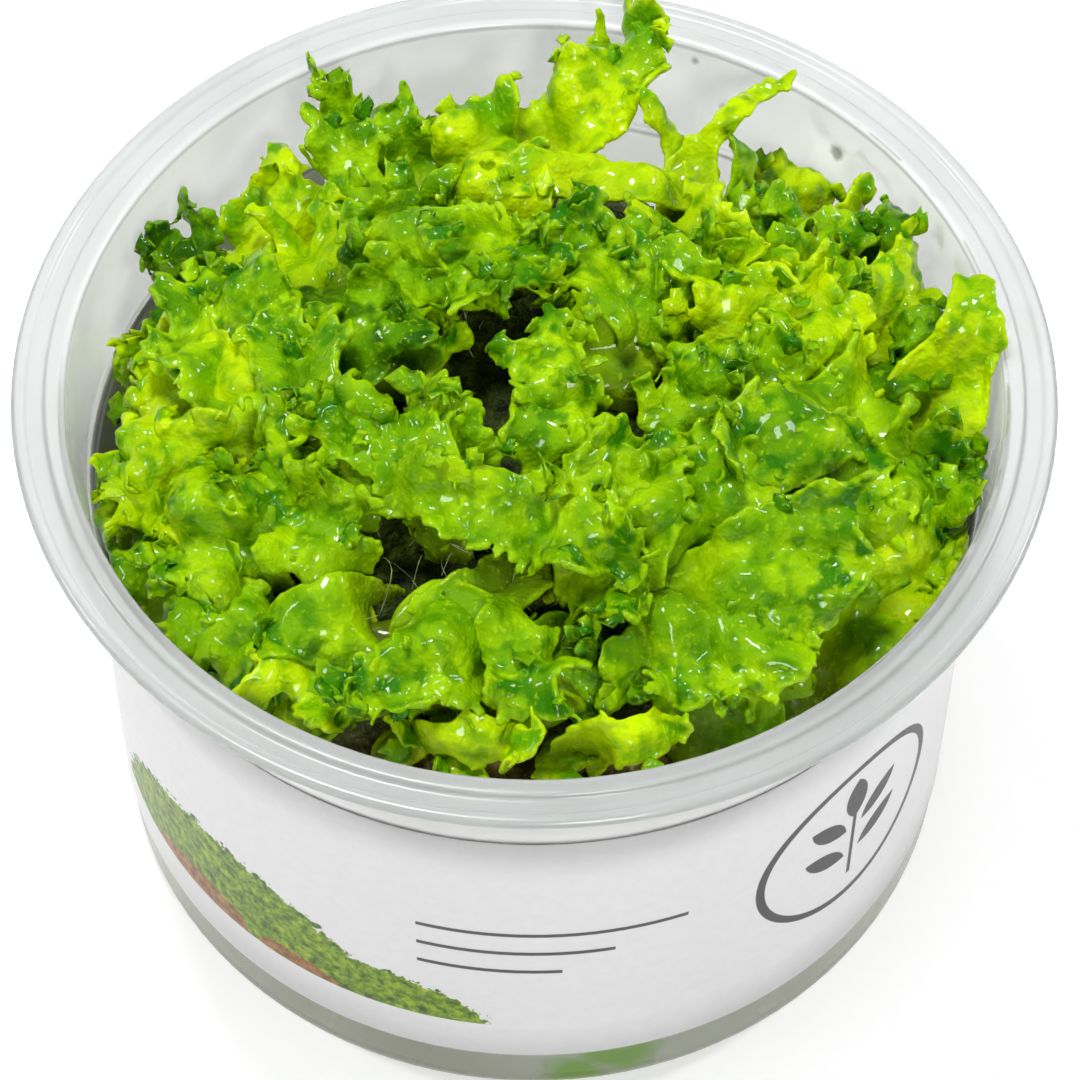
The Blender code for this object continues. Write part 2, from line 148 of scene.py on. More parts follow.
# Name, where it comes up, tip, width, finish, and how frilly it is. Heights are above the rim.
THALLI = (
    ("tall", (-2, 28, -3), (10, 41, 4), 8.0, "lime", 0.8),
    ("tall_left", (-7, 25, -2), (-7, 32, 2), 7.0, "lime", 0.7),
    ("fork_right", (17, 25, -3), (25, 36, 3), 3.6, "lime", 0.3),
    ("fork_left", (15, 26, -4), (9, 34, 1), 3.6, "lime", 0.3),
    ("back_left", (-13, 16, -1), (-20, 35, 1), 6.5, "green", 0.9),
    ("spike", (-13, 28, -4), (-13, 36, 0), 5.0, "green", 0.6),
    ("back_lime", (-24, 22, -6), (-29, 28, -4), 8.5, "lime", 0.5),
    ("curl", (-34, 20, -10), (-37, 23, -4), 5.0, "dark", 1.0),
    ("strap", (14, 25, 0), (-3, 22, 3), 5.0, "lime", 0.1),
    ("shelf", (-14, 11, 2), (1, 10, 8), 8.0, "green", 0.9),
    ("tooth", (-11, -11, 3), (-18, -5, 6), 9.0, "green", 0.9),
    ("ragged", (-6, -14, 2), (-1, -5, 7), 8.5, "green", 1.0),
    ("upright", (5, -12, 1), (5, -5, 8), 9.5, "green", 0.8),
    ("diagonal", (-13, -15, 3), (11, -24, 4), 9.0, "green", 0.9),
    ("diagonal_low", (5, -20, -2), (12, -27, 0), 7.0, "green", 0.8),
    ("broad_right", (33, 1, -4), (23, -15, 3), 10.5, "green", 0.4),
    ("centre_right", (16, -7, 1), (16, 0, 5), 8.5, "green", 1.0),
    ("crown_near", (8, 3, 1), (5, 11, 6), 8.5, "green", 0.8),
    ("crown_far", (15, 7, 0), (12, 14, 5), 7.5, "green", 0.9),
    ("crown_right", (20, 6, -1), (19, 14, 2), 7.5, "lime", 0.9),
    ("crown_edge", (27, 6, -3), (28, 14, 0), 7.5, "lime", 0.9),
    ("right_mid", (22, -1, -1), (24, 4, 3), 7.5, "green", 0.9),
    ("back_mid", (22, 19, -4), (24, 27, -2), 8.0, "green", 1.0),
    ("rear_right", (32, 22, -8), (33, 27, -3), 5.0, "lime", 0.5),
    ("rear_curl", (33, 19, -8), (35, 25, -3), 4.5, "dark", 0.8),
    ("big_right", (37, 1, -4), (44, 10, 5), 8.0, "lime", 0.2),
    ("dark_right", (32, 4, -4), (39, 8, -2), 5.5, "dark", 1.0),
    ("lime_right", (31, 9, -5), (34, 18, -2), 6.5, "lime", 0.8),
    ("left_broad", (-25, -5, -1), (-31, 13, 0), 11.0, "green", 0.6),
    ("olive", (-17, 7, -2), (-21, 13, 0), 6.5, "dark", 0.4),
    ("left_lime", (-32, 1, -7), (-38, 12, -6), 6.0, "lime", 0.6),
    ("rolled", (-27, -3, -2), (-33, 4, 0), 5.0, "lime", 0.2),
    ("left_frill", (-31, -12, -5), (-39, -4, -4), 8.5, "lime", 1.0),
    ("left_grainy", (-28, -18, -4), (-36, -12, -3), 9.0, "green", 1.0),
    ("left_wall", (-33, -19, -11), (-40, -11, -9), 6.0, "green", 0.4),
    ("left_mid", (-20, -15, -2), (-27, -9, 1), 7.5, "green", 1.0),
    ("fan", (15, -23, -1), (30, -24, -1), 12.0, "green", 0.4),
    ("fan_low", (15, -23, -3), (19, -33, -4), 9.5, "green", 0.5),
    ("edge_back", (34, -12, -6), (41, -4, -4), 8.0, "green", 1.0),
    ("edge_mid", (34, -18, -8), (41, -13, -8), 7.5, "lime", 0.8),
    ("edge_front", (30, -25, -10), (38, -18, -10), 6.0, "green", 0.4),
    ("front_glossy", (-5, -24, -2), (-14, -33, -2), 10.0, "green", 0.8),
    ("star", (1, -24, -2), (0, -35, -2), 9.5, "green", 0.4),
    ("left_smooth", (-17, -22, -3), (-26, -27, -5), 8.5, "green", 0.2),
    ("left_low", (-19, -26, -7), (-24, -33, -8), 7.0, "lime", 0.5),
    ("front_left", (-10, -35, -9), (0, -39, -4), 6.0, "lime", 0.6),
    ("front_right", (4, -38, -11), (14, -37, -5), 6.0, "lime", 0.6),
    ("dark_centre", (10, -25, -7), (8, -32, -7), 6.0, "dark", 0.7),
    ("left_front", (-29, -20, -8), (-31, -28, -9), 7.5, "green", 0.6),
    ("right_front", (16, -33, -10), (26, -31, -9), 6.5, "green", 0.4),
)

# Side shoots: the thallus that each grows with, then its place, width, and how frilly it is
SHOOTS = (
    ("olive", (-20, 1, -1), (-11, 6, 5), 7.5, 0.3),
    ("crown_near", (3, -6, 5), (-1, 1, 8), 6.0, 0.7),
    ("crown_far", (10, 7, 4), (2, 16, 5), 9.0, 0.9),
    ("strap", (16, 13, 1), (13, 22, 2), 6.0, 0.5),
    ("centre_right", (16, -18, -1), (15, -11, 4), 9.5, 0.4),
    ("left_smooth", (-19, -26, -6), (-23, -34, -10), 8.0, 0.3),
    ("front_glossy", (-8, -28, -3), (-7, -33, -7), 10.5, 0.4),
    ("dark_centre", (3, -28, -5), (2, -34, -8), 7.0, 0.5),
    ("left_broad", (-22, -5, 1), (-23, 7, 3), 7.0, 0.6),
    ("tooth", (-10, -14, 3), (-13, -7, 7), 6.0, 0.7),
    ("left_grainy", (-26, -25, -8), (-32, -20, -7), 8.0, 0.8),
    ("left_low", (-22, -30, -10), (-27, -28, -10), 6.5, 0.5),
    ("left_mid", (-19, -20, -2), (-23, -13, 2), 7.0, 0.8),
    ("crown_edge", (28, 2, -2), (25, 9, 1), 7.5, 0.8),
    ("crown_right", (20, 5, 1), (16, 13, 4), 7.0, 0.9),
    ("back_mid", (26, 13, -3), (28, 22, -3), 7.0, 0.8),
    ("broad_right", (27, -13, -4), (33, -8, -1), 9.0, 0.5),
    ("fan", (17, -25, -4), (24, -29, -7), 9.0, 0.5),
    ("fan_low", (12, -27, -4), (10, -33, -8), 7.0, 0.5),
    ("edge_front", (33, -20, -11), (35, -16, -9), 7.0, 0.6),
    ("right_front", (24, -28, -12), (19, -33, -11), 6.5, 0.5),
    ("front_right", (3, -34, -11), (6, -37, -10), 6.0, 0.6),
    ("front_left", (-6, -33, -11), (-10, -37, -10), 6.0, 0.6),
    ("back_left", (-14, 15, -1), (-10, 24, 3), 6.0, 0.9),
    ("back_lime", (-20, 13, -3), (-23, 22, -2), 7.0, 0.5),
    ("tall_left", (-3, 18, 1), (-4, 26, 2), 7.5, 0.6),
    ("shelf", (-11, 8, 3), (-6, 10, 8), 7.0, 0.8),
    ("left_frill", (-34, -10, -9), (-39, -7, -8), 6.5, 0.9),
    ("left_lime", (-32, -2, -7), (-36, 6, -6), 6.0, 0.6),
    ("big_right", (37, -6, -9), (40, -1, -9), 5.5, 0.7),
    ("edge_back", (35, -14, -9), (40, -10, -8), 6.5, 0.9),
    ("upright", (7, -20, -1), (9, -9, 5), 9.5, 0.3),
    ("centre_right", (13, -20, -1), (12, -8, 4), 9.5, 0.3),
    ("shelf", (-14, 2, -1), (-10, 6, 3), 6.0, 0.5),
    ("left_wall", (-37, -8, -13), (-41, -2, -11), 6.5, 0.5),
    ("left_broad", (-36, 5, -12), (-39, 13, -10), 6.5, 0.5),
    ("rear_right", (25, 28, -11), (27, 33, -7), 6.0, 0.5),
)

# The outlines that the photograph shows plainly, as tapered bars with round ends on the thallus's own sheet.
# A bar is its start and its end, each to the side and along from the foot, then its radius at either end.
BARS = {
    "tall": (
        (-0.2, 9.0, 1.0, 14.0, 5.4, 5.2),
        (1.0, 14.0, 1.8, 20.5, 5.0, 4.4),
        (1.8, 20.5, 1.8, 26.2, 4.4, 3.7),
        (1.8, 26.2, 0.8, 29.2, 3.6, 2.6),
        (-0.8, 20.8, -4.6, 23.2, 1.8, 0.4),
        (0.0, 25.5, -4.2, 27.8, 1.6, 0.4),
        (0.3, 28.0, -2.4, 31.2, 1.3, 0.4),
        (1.2, 28.5, -0.4, 32.2, 1.1, 0.4),
        (2.0, 28.2, 2.4, 31.8, 1.2, 0.4),
        (2.5, 27.0, 5.4, 27.6, 1.3, 0.4),
    ),
    "tall_left": (
        (2.2, 8.8, 1.0, 13.5, 4.6, 4.5),
        (1.0, 13.5, 0.8, 15.8, 4.2, 3.2),
        (0.5, 15.5, -1.5, 18.5, 1.6, 0.3),
        (3.2, 15.8, 5.5, 20.8, 1.9, 0.3),
        (-1.0, 13.5, -2.8, 17.2, 1.9, 0.3),
    ),
    "fork_right": (
        (-2.5, 9.0, -3.2, 12.0, 2.9, 1.8),
        (-3.2, 12.0, -2.0, 17.0, 1.4, 1.1),
        (-2.0, 17.0, -1.8, 20.5, 1.1, 1.0),
        (-1.8, 20.5, -0.2, 22.2, 1.0, 0.8),
        (-0.2, 22.2, 0.2, 23.8, 0.8, 0.3),
    ),
    "fork_left": (
        (1.0, 10.2, 2.2, 13.0, 2.9, 1.6),
        (2.2, 13.0, 1.0, 17.0, 1.3, 1.0),
        (1.0, 17.0, 0.2, 20.5, 1.0, 0.6),
    ),
    "back_left": (
        (0.5, 7.0, 0.0, 10.5, 3.4, 3.8),
        (0.0, 10.5, -1.5, 17.0, 3.9, 3.2),
        (-1.5, 17.0, -1.0, 23.8, 3.2, 3.1),
        (-1.0, 23.8, -0.2, 28.2, 2.9, 2.1),
        (-0.8, 28.0, -0.8, 32.2, 1.4, 0.4),
        (0.2, 28.0, 1.8, 31.5, 1.3, 0.4),
        (-2.0, 25.5, -4.0, 28.5, 1.6, 0.3),
        (-3.2, 22.2, -5.0, 24.0, 1.6, 0.3),
        (0.2, 24.0, 2.0, 26.2, 1.3, 0.3),
    ),
    "spike": (
        (2.8, 6.8, 0.2, 10.8, 3.1, 3.5),
        (0.2, 10.8, -0.5, 13.8, 3.2, 2.6),
        (-0.2, 13.5, 0.0, 18.0, 1.4, 0.2),
        (-1.8, 13.5, -3.0, 15.2, 1.3, 0.3),
    ),
    "strap": (
        (-2.0, 20.8, -1.0, 24.8, 2.1, 2.5),
        (-1.0, 24.8, 0.2, 31.5, 2.5, 2.4),
        (0.2, 31.5, -0.2, 34.0, 2.4, 2.0),
    ),
    "big_right": (
        (0.5, 7.0, 1.5, 11.2, 4.0, 5.0),
        (1.5, 11.2, 1.8, 16.5, 5.0, 4.0),
        (1.8, 16.5, 0.0, 20.5, 3.8, 2.6),
        (-0.8, 20.2, -2.0, 21.5, 1.7, 1.0),
        (0.0, 20.8, 0.0, 22.2, 1.7, 1.2),
        (3.2, 16.5, 5.0, 16.8, 1.8, 0.7),
        (0.2, 14.5, -2.6, 12.5, 2.0, 0.8),
        (-0.8, 10.2, -3.8, 9.0, 1.8, 0.7),
    ),
    "dark_right": (
        (2.2, 12.5, -0.5, 15.2, 2.5, 2.5),
        (-0.8, 15.5, -2.5, 17.2, 1.2, 0.4),
        (-1.0, 13.2, -2.2, 12.8, 1.2, 0.3),
        (0.0, 16.5, -1.8, 18.2, 1.0, 0.3),
    ),
    "rear_curl": (
        (0.2, 12.0, 0.8, 15.5, 1.7, 1.9),
        (0.8, 15.5, 1.0, 17.8, 1.9, 1.3),
        (1.0, 17.8, 1.0, 18.8, 1.2, 0.8),
    ),
    "rear_right": (
        (-2.2, 10.0, -1.8, 12.8, 1.7, 1.6),
        (-1.8, 12.8, -0.2, 16.0, 1.4, 1.1),
        (-0.2, 16.0, -0.2, 17.0, 1.1, 0.8),
        (-3.0, 12.0, -4.0, 13.2, 1.1, 0.4),
    ),
    "lime_right": (
        (2.8, 11.8, 2.2, 16.8, 2.8, 3.1),
        (2.2, 16.8, 2.5, 20.2, 2.8, 1.6),
        (2.8, 20.0, 3.5, 21.0, 1.1, 0.4),
        (4.5, 14.8, 6.5, 15.2, 1.6, 0.3),
    ),
    "back_mid": (
        (1.0, 8.5, 0.0, 12.5, 4.6, 3.9),
        (0.5, 12.8, 0.8, 16.5, 2.8, 1.5),
        (0.8, 16.5, 1.2, 20.0, 1.4, 0.3),
        (-2.2, 12.5, -4.0, 15.5, 2.5, 1.5),
        (-4.0, 15.5, -5.0, 18.0, 1.2, 0.4),
        (-1.0, 14.5, -1.5, 18.8, 1.5, 0.3),
    ),
    "tooth": (
        (-2.0, 7.8, -2.2, 13.0, 3.2, 3.5),
        (-2.2, 13.0, -1.5, 16.2, 3.4, 3.0),
        (-0.8, 17.0, 2.0, 19.0, 1.4, 0.3),
        (-3.5, 17.0, -2.8, 20.0, 2.6, 1.1),
        (-2.8, 19.8, -3.5, 22.5, 1.0, 0.3),
        (-2.2, 19.0, -1.0, 19.8, 0.9, 0.3),
        (-5.2, 15.2, -7.5, 14.5, 1.4, 0.4),
        (-5.5, 18.8, -7.2, 18.5, 1.0, 0.3),
    ),
    "ragged": (
        (-2.2, 6.0, -4.5, 11.0, 3.6, 4.4),
        (-6.0, 11.5, -8.0, 14.5, 2.7, 0.6),
        (-4.0, 12.8, -4.2, 16.8, 2.5, 0.6),
        (-2.2, 12.5, -2.0, 15.5, 2.2, 0.6),
        (-1.2, 12.0, 1.5, 13.0, 2.0, 0.9),
        (-1.0, 10.8, 1.8, 11.0, 1.4, 0.4),
    ),
    "diagonal": (
        (-1.2, 16.5, 0.2, 24.5, 3.4, 3.7),
        (0.2, 24.5, -0.8, 33.2, 3.7, 4.7),
        (-0.8, 33.2, 0.0, 39.2, 4.7, 3.0),
        (-3.5, 30.8, -5.8, 30.8, 1.3, 0.4),
        (-5.0, 34.8, -7.0, 34.8, 1.3, 0.6),
        (-5.0, 37.2, -6.5, 38.8, 1.3, 0.6),
        (3.2, 32.8, 5.0, 31.5, 1.0, 0.4),
        (2.5, 28.5, 4.2, 29.0, 1.3, 0.4),
    ),
    "diagonal_low": (
        (1.0, 6.5, 1.2, 12.2, 3.1, 3.4),
        (1.2, 12.2, 1.8, 15.5, 3.1, 1.6),
        (4.0, 12.2, 5.2, 13.8, 0.8, 0.3),
        (9.0, 1.5, 0.8, 16.8, 1.0, 0.3),
    ),
    "star": (
        (4.0, 7.8, 3.0, 11.8, 1.5, 2.6),
        (3.0, 11.8, 0.5, 16.5, 2.6, 3.0),
        (4.2, 7.5, 5.2, 3.5, 0.8, 0.2),
        (0.8, 12.8, -2.0, 8.5, 1.7, 0.2),
        (-0.2, 14.5, -5.8, 13.8, 1.5, 0.2),
        (3.0, 16.5, 4.5, 18.5, 1.3, 0.3),
        (-0.8, 17.5, -4.8, 19.2, 1.3, 0.2),
        (1.8, 18.5, 2.8, 20.2, 1.0, 0.3),
        (4.2, 12.0, 5.8, 12.0, 0.9, 0.2),
    ),
    "front_glossy": (
        (1.2, 10.0, -10.0, 0.8, 2.9, 4.4),
        (-10.0, 0.8, -0.2, 18.5, 4.4, 3.5),
        (-0.2, 18.5, 1.8, 21.8, 3.1, 2.0),
        (1.5, 14.2, -13.2, 0.2, 1.5, 0.3),
        (2.2, 21.2, 4.8, 22.2, 1.2, 0.4),
        (-5.8, 14.0, -8.0, 13.8, 1.5, 0.6),
        (-1.5, 20.5, -2.2, 22.2, 1.0, 0.4),
    ),
    "left_smooth": (
        (-4.0, -6.0, -0.8, 13.0, 3.0, 3.4),
        (-0.8, 13.0, -12.5, 2.0, 3.4, 1.9),
        (-12.5, 2.0, -0.2, 18.8, 1.2, 0.4),
    ),
    "front_left": (
        (-0.8, 4.8, 0.0, 12.0, 1.3, 2.0),
        (0.0, 12.0, 0.0, 17.5, 2.0, 2.0),
        (0.0, 17.5, -1.0, 19.5, 1.9, 1.2),
        (-1.2, 3.8, -2.0, 2.0, 0.9, 0.3),
        (-1.2, 19.0, -3.5, 19.2, 0.9, 0.2),
        (0.8, 5.0, 2.8, 0.5, 0.9, 0.3),
        (-1.5, 12.0, -2.5, 12.0, 0.8, 0.3),
    ),
    "front_right": (
        (-3.5, 4.2, -2.2, 7.8, 0.9, 2.2),
        (-2.2, 7.8, -1.2, 12.8, 2.5, 2.2),
        (-1.2, 12.8, -0.8, 16.0, 2.1, 1.1),
        (-3.5, 9.5, -5.5, 10.5, 0.9, 0.3),
        (-1.0, 15.8, -1.8, 17.5, 0.7, 0.2),
        (0.2, 15.8, 1.5, 16.2, 0.7, 0.3),
        (-1.5, 5.5, 0.5, 4.8, 0.9, 0.3),
    ),
    "fan": (
        (-2.2, 9.5, -4.2, 15.2, 1.0, 2.8),
        (-4.2, 15.2, -7.2, 21.2, 2.8, 3.2),
        (0.0, 12.2, 0.0, 19.8, 2.4, 4.5),
        (0.0, 19.8, -3.0, 24.0, 4.5, 2.8),
        (1.2, 10.0, 6.5, 14.8, 2.2, 3.7),
        (6.5, 14.8, 7.2, 19.5, 3.7, 2.5),
        (-8.8, 21.8, -10.8, 24.0, 1.5, 0.6),
        (-2.2, 25.0, -3.0, 26.8, 1.3, 0.4),
        (9.8, 17.5, 10.8, 18.2, 1.0, 0.6),
    ),
    "broad_right": (
        (0.0, 14.2, 1.0, 24.0, 4.0, 5.0),
        (1.0, 24.0, 4.0, 31.2, 5.0, 5.2),
        (4.0, 31.2, 6.2, 35.5, 4.9, 3.4),
        (5.5, 25.2, 7.8, 24.0, 1.6, 0.4),
        (2.8, 19.2, 7.0, 15.8, 1.6, 0.4),
        (7.5, 33.5, 9.5, 34.0, 1.3, 0.4),
    ),
    "upright": (
        (-2.5, 8.2, -3.8, 12.0, 3.6, 4.2),
        (-3.8, 12.0, -2.5, 15.2, 4.2, 3.4),
        (-4.0, 15.0, -4.5, 17.2, 1.5, 0.4),
        (-2.2, 16.0, -1.5, 18.0, 1.5, 0.4),
        (-0.5, 15.0, 0.5, 17.0, 1.5, 0.4),
        (-5.5, 13.0, -7.0, 14.0, 1.5, 0.4),
    ),
}


# Shared helpers

def start_fresh():
    """Leaves nothing selected, so that an operator acts on the new primitive alone."""
    if bpy.context.mode != "OBJECT":
        bpy.ops.object.mode_set(mode="OBJECT")
    bpy.ops.object.select_all(action="DESELECT")


def shape_with(piece, kind, **values):
    """Adds one modifier to the active piece and applies it."""
    modifier = piece.modifiers.new(kind.lower(), kind)
    for name, value in values.items():
        setattr(modifier, name, value)
    bpy.ops.object.modifier_apply(modifier=modifier.name)


def faces_of(mesh):
    corners = np.empty(len(mesh.loops), int)
    mesh.loops.foreach_get("vertex_index", corners)
    return corners


def settle(piece, finish, slot, *nodes):
    """Gives a finished piece its material and its body, and hides the nodes that it stands for. Its slot is
    not used.
    """
    piece.data.materials.clear()
    piece.data.materials.append(finish)
    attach(piece, "root")
    if nodes:
        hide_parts(*nodes)
    return piece


def outer_radius(height):
    share = (height - BASE_CORNER) / (LEDGE_HEIGHT - BASE_CORNER)
    return BASE_RADIUS + (LEDGE_RADIUS - BASE_RADIUS) * share


def inner_radius(height):
    """The cup's inner wall, for one height or for an array of them."""
    low = outer_radius(height) - WALL
    share = (height - LEDGE_HEIGHT) / (RIM_HEIGHT - LEDGE_HEIGHT)
    bottom = LEDGE_RADIUS + LEDGE_STEP - WALL
    high = bottom + (MOUTH_RADIUS - bottom) * share
    return np.where(np.asarray(height) < LEDGE_HEIGHT, low, high)


def mat_height(x, y):
    away = (Vector((x, y)) - MAT_CENTRE).length / MAT_RADIUS
    mound = MAT_EDGE_HEIGHT + (MAT_CROWN_HEIGHT - MAT_EDGE_HEIGHT) * (1 - away * away)
    return mound + MAT_LUMP * noise.noise(Vector((x, y, 0)) / 9)


def inside_cup(points, clearance):
    """Moves points that would pass through the wall to just inside it."""
    reach = np.hypot(points[:, 0], points[:, 1])
    height = np.minimum(points[:, 2], RIM_HEIGHT)
    limit = inner_radius(height) - clearance
    over = np.clip((points[:, 2] - RIM_HEIGHT) / 1.5, 0, 1)
    scale = np.where(reach > limit, limit / np.maximum(reach, 1e-6), 1.0)
    scale = scale + (1 - scale) * over
    held = points.copy()
    held[:, :2] *= scale[:, None]
    return held


def waves(chance, size):
    """Smooth random waves over a plane, from about -1 to 1, with crests about size apart."""
    parts = []
    for _ in range(WAVES):
        angle = chance.uniform(0, math.tau)
        turns = math.tau / (size * chance.uniform(0.7, 1.5))
        parts.append((math.cos(angle) * turns, math.sin(angle) * turns, chance.uniform(0, math.tau)))

    def height(u, v):
        total = sum(np.sin(u * a + v * b + c) for a, b, c in parts)
        return total / math.sqrt(WAVES) * 1.1

    return height


# Node helpers

def new_material(name):
    made = bpy.data.materials.new(name)
    made.use_nodes = True
    shader = made.node_tree.nodes["Principled BSDF"]
    return made, made.node_tree.nodes, made.node_tree.links, shader


def noise_node(nodes, links, vector, scale, detail=2.0, roughness=0.5):
    made = nodes.new("ShaderNodeTexNoise")
    made.inputs["Scale"].default_value = scale
    made.inputs["Detail"].default_value = detail
    made.inputs["Roughness"].default_value = roughness
    links.new(vector, made.inputs["Vector"])
    return made.outputs["Fac"]


def ramp_node(nodes, links, value, *stops):
    """A colour ramp from pairs of a place and a colour."""
    made = nodes.new("ShaderNodeValToRGB")
    elements = made.color_ramp.elements
    while len(elements) < len(stops):
        elements.new(0.5)
    for element, (place, colour) in zip(elements, stops):
        element.position = place
        element.color = (*colour, 1.0) if len(colour) == 3 else (colour[0],) * 3 + (1.0,)
    links.new(value, made.inputs["Fac"])
    return made.outputs["Color"]


def math_node(nodes, links, operation, first, second=None, clamp=False):
    made = nodes.new("ShaderNodeMath")
    made.operation = operation
    made.use_clamp = clamp
    for socket, value in zip(made.inputs, (first, second)):
        if value is None:
            continue
        if isinstance(value, (int, float)):
            socket.default_value = value
        else:
            links.new(value, socket)
    return made.outputs[0]


def mix_colour(nodes, links, factor, first, second):
    made = nodes.new("ShaderNodeMix")
    made.data_type = "RGBA"
    for socket, value in ((made.inputs[0], factor), (made.inputs[6], first), (made.inputs[7], second)):
        if isinstance(value, (int, float)):
            socket.default_value = value
        elif isinstance(value, tuple):
            socket.default_value = (*value, 1.0)
        else:
            links.new(value, socket)
    return made.outputs[2]


def reach_node(nodes, links, place):
    """The distance from the cup's axis, in metres."""
    flat = nodes.new("ShaderNodeVectorMath")
    flat.operation = "MULTIPLY"
    flat.inputs[1].default_value = (1, 1, 0)
    links.new(place, flat.inputs[0])
    length = nodes.new("ShaderNodeVectorMath")
    length.operation = "LENGTH"
    links.new(flat.outputs["Vector"], length.inputs[0])
    return length.outputs["Value"]


def spot_node(nodes, links, place, spot, radius):
    """The distance from a spot given in millimetres, as a share of a radius."""
    away = nodes.new("ShaderNodeVectorMath")
    away.operation = "DISTANCE"
    away.inputs[1].default_value = Vector(spot) * MM
    links.new(place, away.inputs[0])
    return math_node(nodes, links, "MULTIPLY", away.outputs["Value"], 1 / (radius * MM))


def bump_node(nodes, links, height, distance, strength=1.0):
    made = nodes.new("ShaderNodeBump")
    made.inputs["Distance"].default_value = distance
    made.inputs["Strength"].default_value = strength
    links.new(height, made.inputs["Height"])
    return made.outputs["Normal"]


# Materials

FLESH_COLOURS = {
    "lime": ((0.36, 0.58, 0.0005), (0.53, 0.74, 0.0005), (0.10, 0.33, 0.0008)),
    "green": ((0.16, 0.37, 0.0008), (0.34, 0.59, 0.0008), (0.03, 0.18, 0.001)),
    "dark": ((0.07, 0.23, 0.0008), (0.19, 0.42, 0.0008), (0.012, 0.085, 0.001)),
}


def flesh_material(name):
    """Wet thallus: body, bright and dark greens, in patches and towards the margin. The brighter margin is a
    painted glow of light through the thin edge, and the dark olive foot is partly painted shade.
    """
    body, bright, deep = FLESH_COLOURS[name]
    made, nodes, links, shader = new_material("thallus " + name)
    place = nodes.new("ShaderNodeTexCoord").outputs["Object"]
    uv = nodes.new("ShaderNodeUVMap")
    uv.uv_map = "growth"
    split = nodes.new("ShaderNodeSeparateXYZ")
    links.new(uv.outputs["UV"], split.inputs[0])
    edge, along = split.outputs["X"], split.outputs["Y"]

    patches = noise_node(nodes, links, place, 170, 1, 0.6)
    grains = noise_node(nodes, links, place, 1400, 1, 0.6)
    folds = noise_node(nodes, links, place, 420, 1, 0.65)
    patch_mask = ramp_node(nodes, links, patches, (0.42, (0,)), (0.64, (1,)))
    colour = mix_colour(nodes, links, patch_mask, body, bright)
    deep_mask = ramp_node(nodes, links, folds, (0.47, (0,)), (0.62, (1,)))
    near_tip = ramp_node(nodes, links, along, (0.4, (0.25,)), (0.95, (1,)))
    deep_mask = math_node(nodes, links, "MULTIPLY", deep_mask, near_tip)
    colour = mix_colour(nodes, links, deep_mask, colour, deep)
    # Towards the foot the green turns dark olive: partly the olive colour of older growth, partly painted
    # shade where the lower parts lie under other lobes.
    olive_shade_foot = ramp_node(nodes, links, along, (0.1, (1,)), (0.5, (0,)))
    olive_shade_foot = math_node(nodes, links, "MULTIPLY", olive_shade_foot, 0.8)
    colour = mix_colour(nodes, links, olive_shade_foot, colour, (0.10, 0.13, 0.004))
    tip_mask = ramp_node(nodes, links, along, (0.84, (0,)), (1.0, (1,)))
    tip_patch = ramp_node(nodes, links, patches, (0.44, (0.9,)), (0.56, (0.15,)))
    tip_mask = math_node(nodes, links, "MULTIPLY", tip_mask, tip_patch)
    colour = mix_colour(nodes, links, tip_mask, colour, deep)
    # Painted light: the outermost margin is mixed towards the bright green, a painted glow of light shining
    # through the thin edge.
    margin_glow_mask = ramp_node(nodes, links, edge, (0.80, (0,)), (0.96, (1,)))
    margin_glow_mask = math_node(nodes, links, "MULTIPLY", margin_glow_mask, 0.65)
    colour = mix_colour(nodes, links, margin_glow_mask, colour, bright)

    speckle = ramp_node(nodes, links, grains, (0.6, (0,)), (0.72, (0.3,)))
    colour = mix_colour(nodes, links, speckle, colour, (0.58, 0.82, 0.01))
    links.new(colour, shader.inputs["Base Color"])

    relief = math_node(nodes, links, "ADD", folds, grains)
    links.new(bump_node(nodes, links, relief, 0.0004, 0.6), shader.inputs["Normal"])
    links.new(ramp_node(nodes, links, grains, (0.3, (0.3,)), (0.7, (0.45,))), shader.inputs["Roughness"])
    shader.inputs["Specular IOR Level"].default_value = 0.05
    shader.inputs["Coat Weight"].default_value = 0.58
    shader.inputs["Coat IOR"].default_value = 1.34
    shader.inputs["Coat Roughness"].default_value = 0.07
    return made


def gel_streaks(nodes, links, place):
    """Where old thalli show green through the foot of the cup: two patches near the front wall."""
    ragged = noise_node(nodes, links, place, 260, 1, 0.6)
    total = None
    for spot, radius in STREAKS:
        reach = spot_node(nodes, links, place, spot, radius)
        edge = math_node(nodes, links, "MULTIPLY", math_node(nodes, links, "ADD", reach, ragged), 0.5)
        mask = ramp_node(nodes, links, edge, (0.5, (1,)), (0.75, (0,)))
        total = mask if total is None else math_node(nodes, links, "MAXIMUM", total, mask)
    return total


def foot_of_cup(nodes, links, place, haze, height, colour):
    """The wall is darker where the gel stands behind it, below the label."""
    by_gel = math_node(nodes, links, "DIVIDE", height, LABEL_BOTTOM)
    by_gel = ramp_node(nodes, links, by_gel, (0.9, (1,)), (1.0, (0,)))
    foot = ramp_node(nodes, links, haze, (0.3, (0.47, 0.49, 0.38)), (0.7, (0.58, 0.60, 0.50)))
    foot = mix_colour(nodes, links, gel_streaks(nodes, links, place), foot, (0.22, 0.46, 0.03))
    return mix_colour(nodes, links, by_gel, colour, foot)


def painted_edge_shade(nodes, links, height, off_rim, colour):
    """Thin grey lines of painted shade where the wall turns at the mouth and at the ledge, standing in for
    the dark edges the clear plastic shows there.
    """
    for level in (RIM_HEIGHT - MOUTH_ROUND, LEDGE_HEIGHT):
        away = math_node(nodes, links, "ABSOLUTE", math_node(nodes, links, "SUBTRACT", height, level))
        edge = ramp_node(nodes, links, away, (0.0, (0.75,)), (0.3, (0,)))
        edge = math_node(nodes, links, "MULTIPLY", edge, off_rim)
        colour = mix_colour(nodes, links, edge, colour, (0.2, 0.21, 0.2))
    return colour


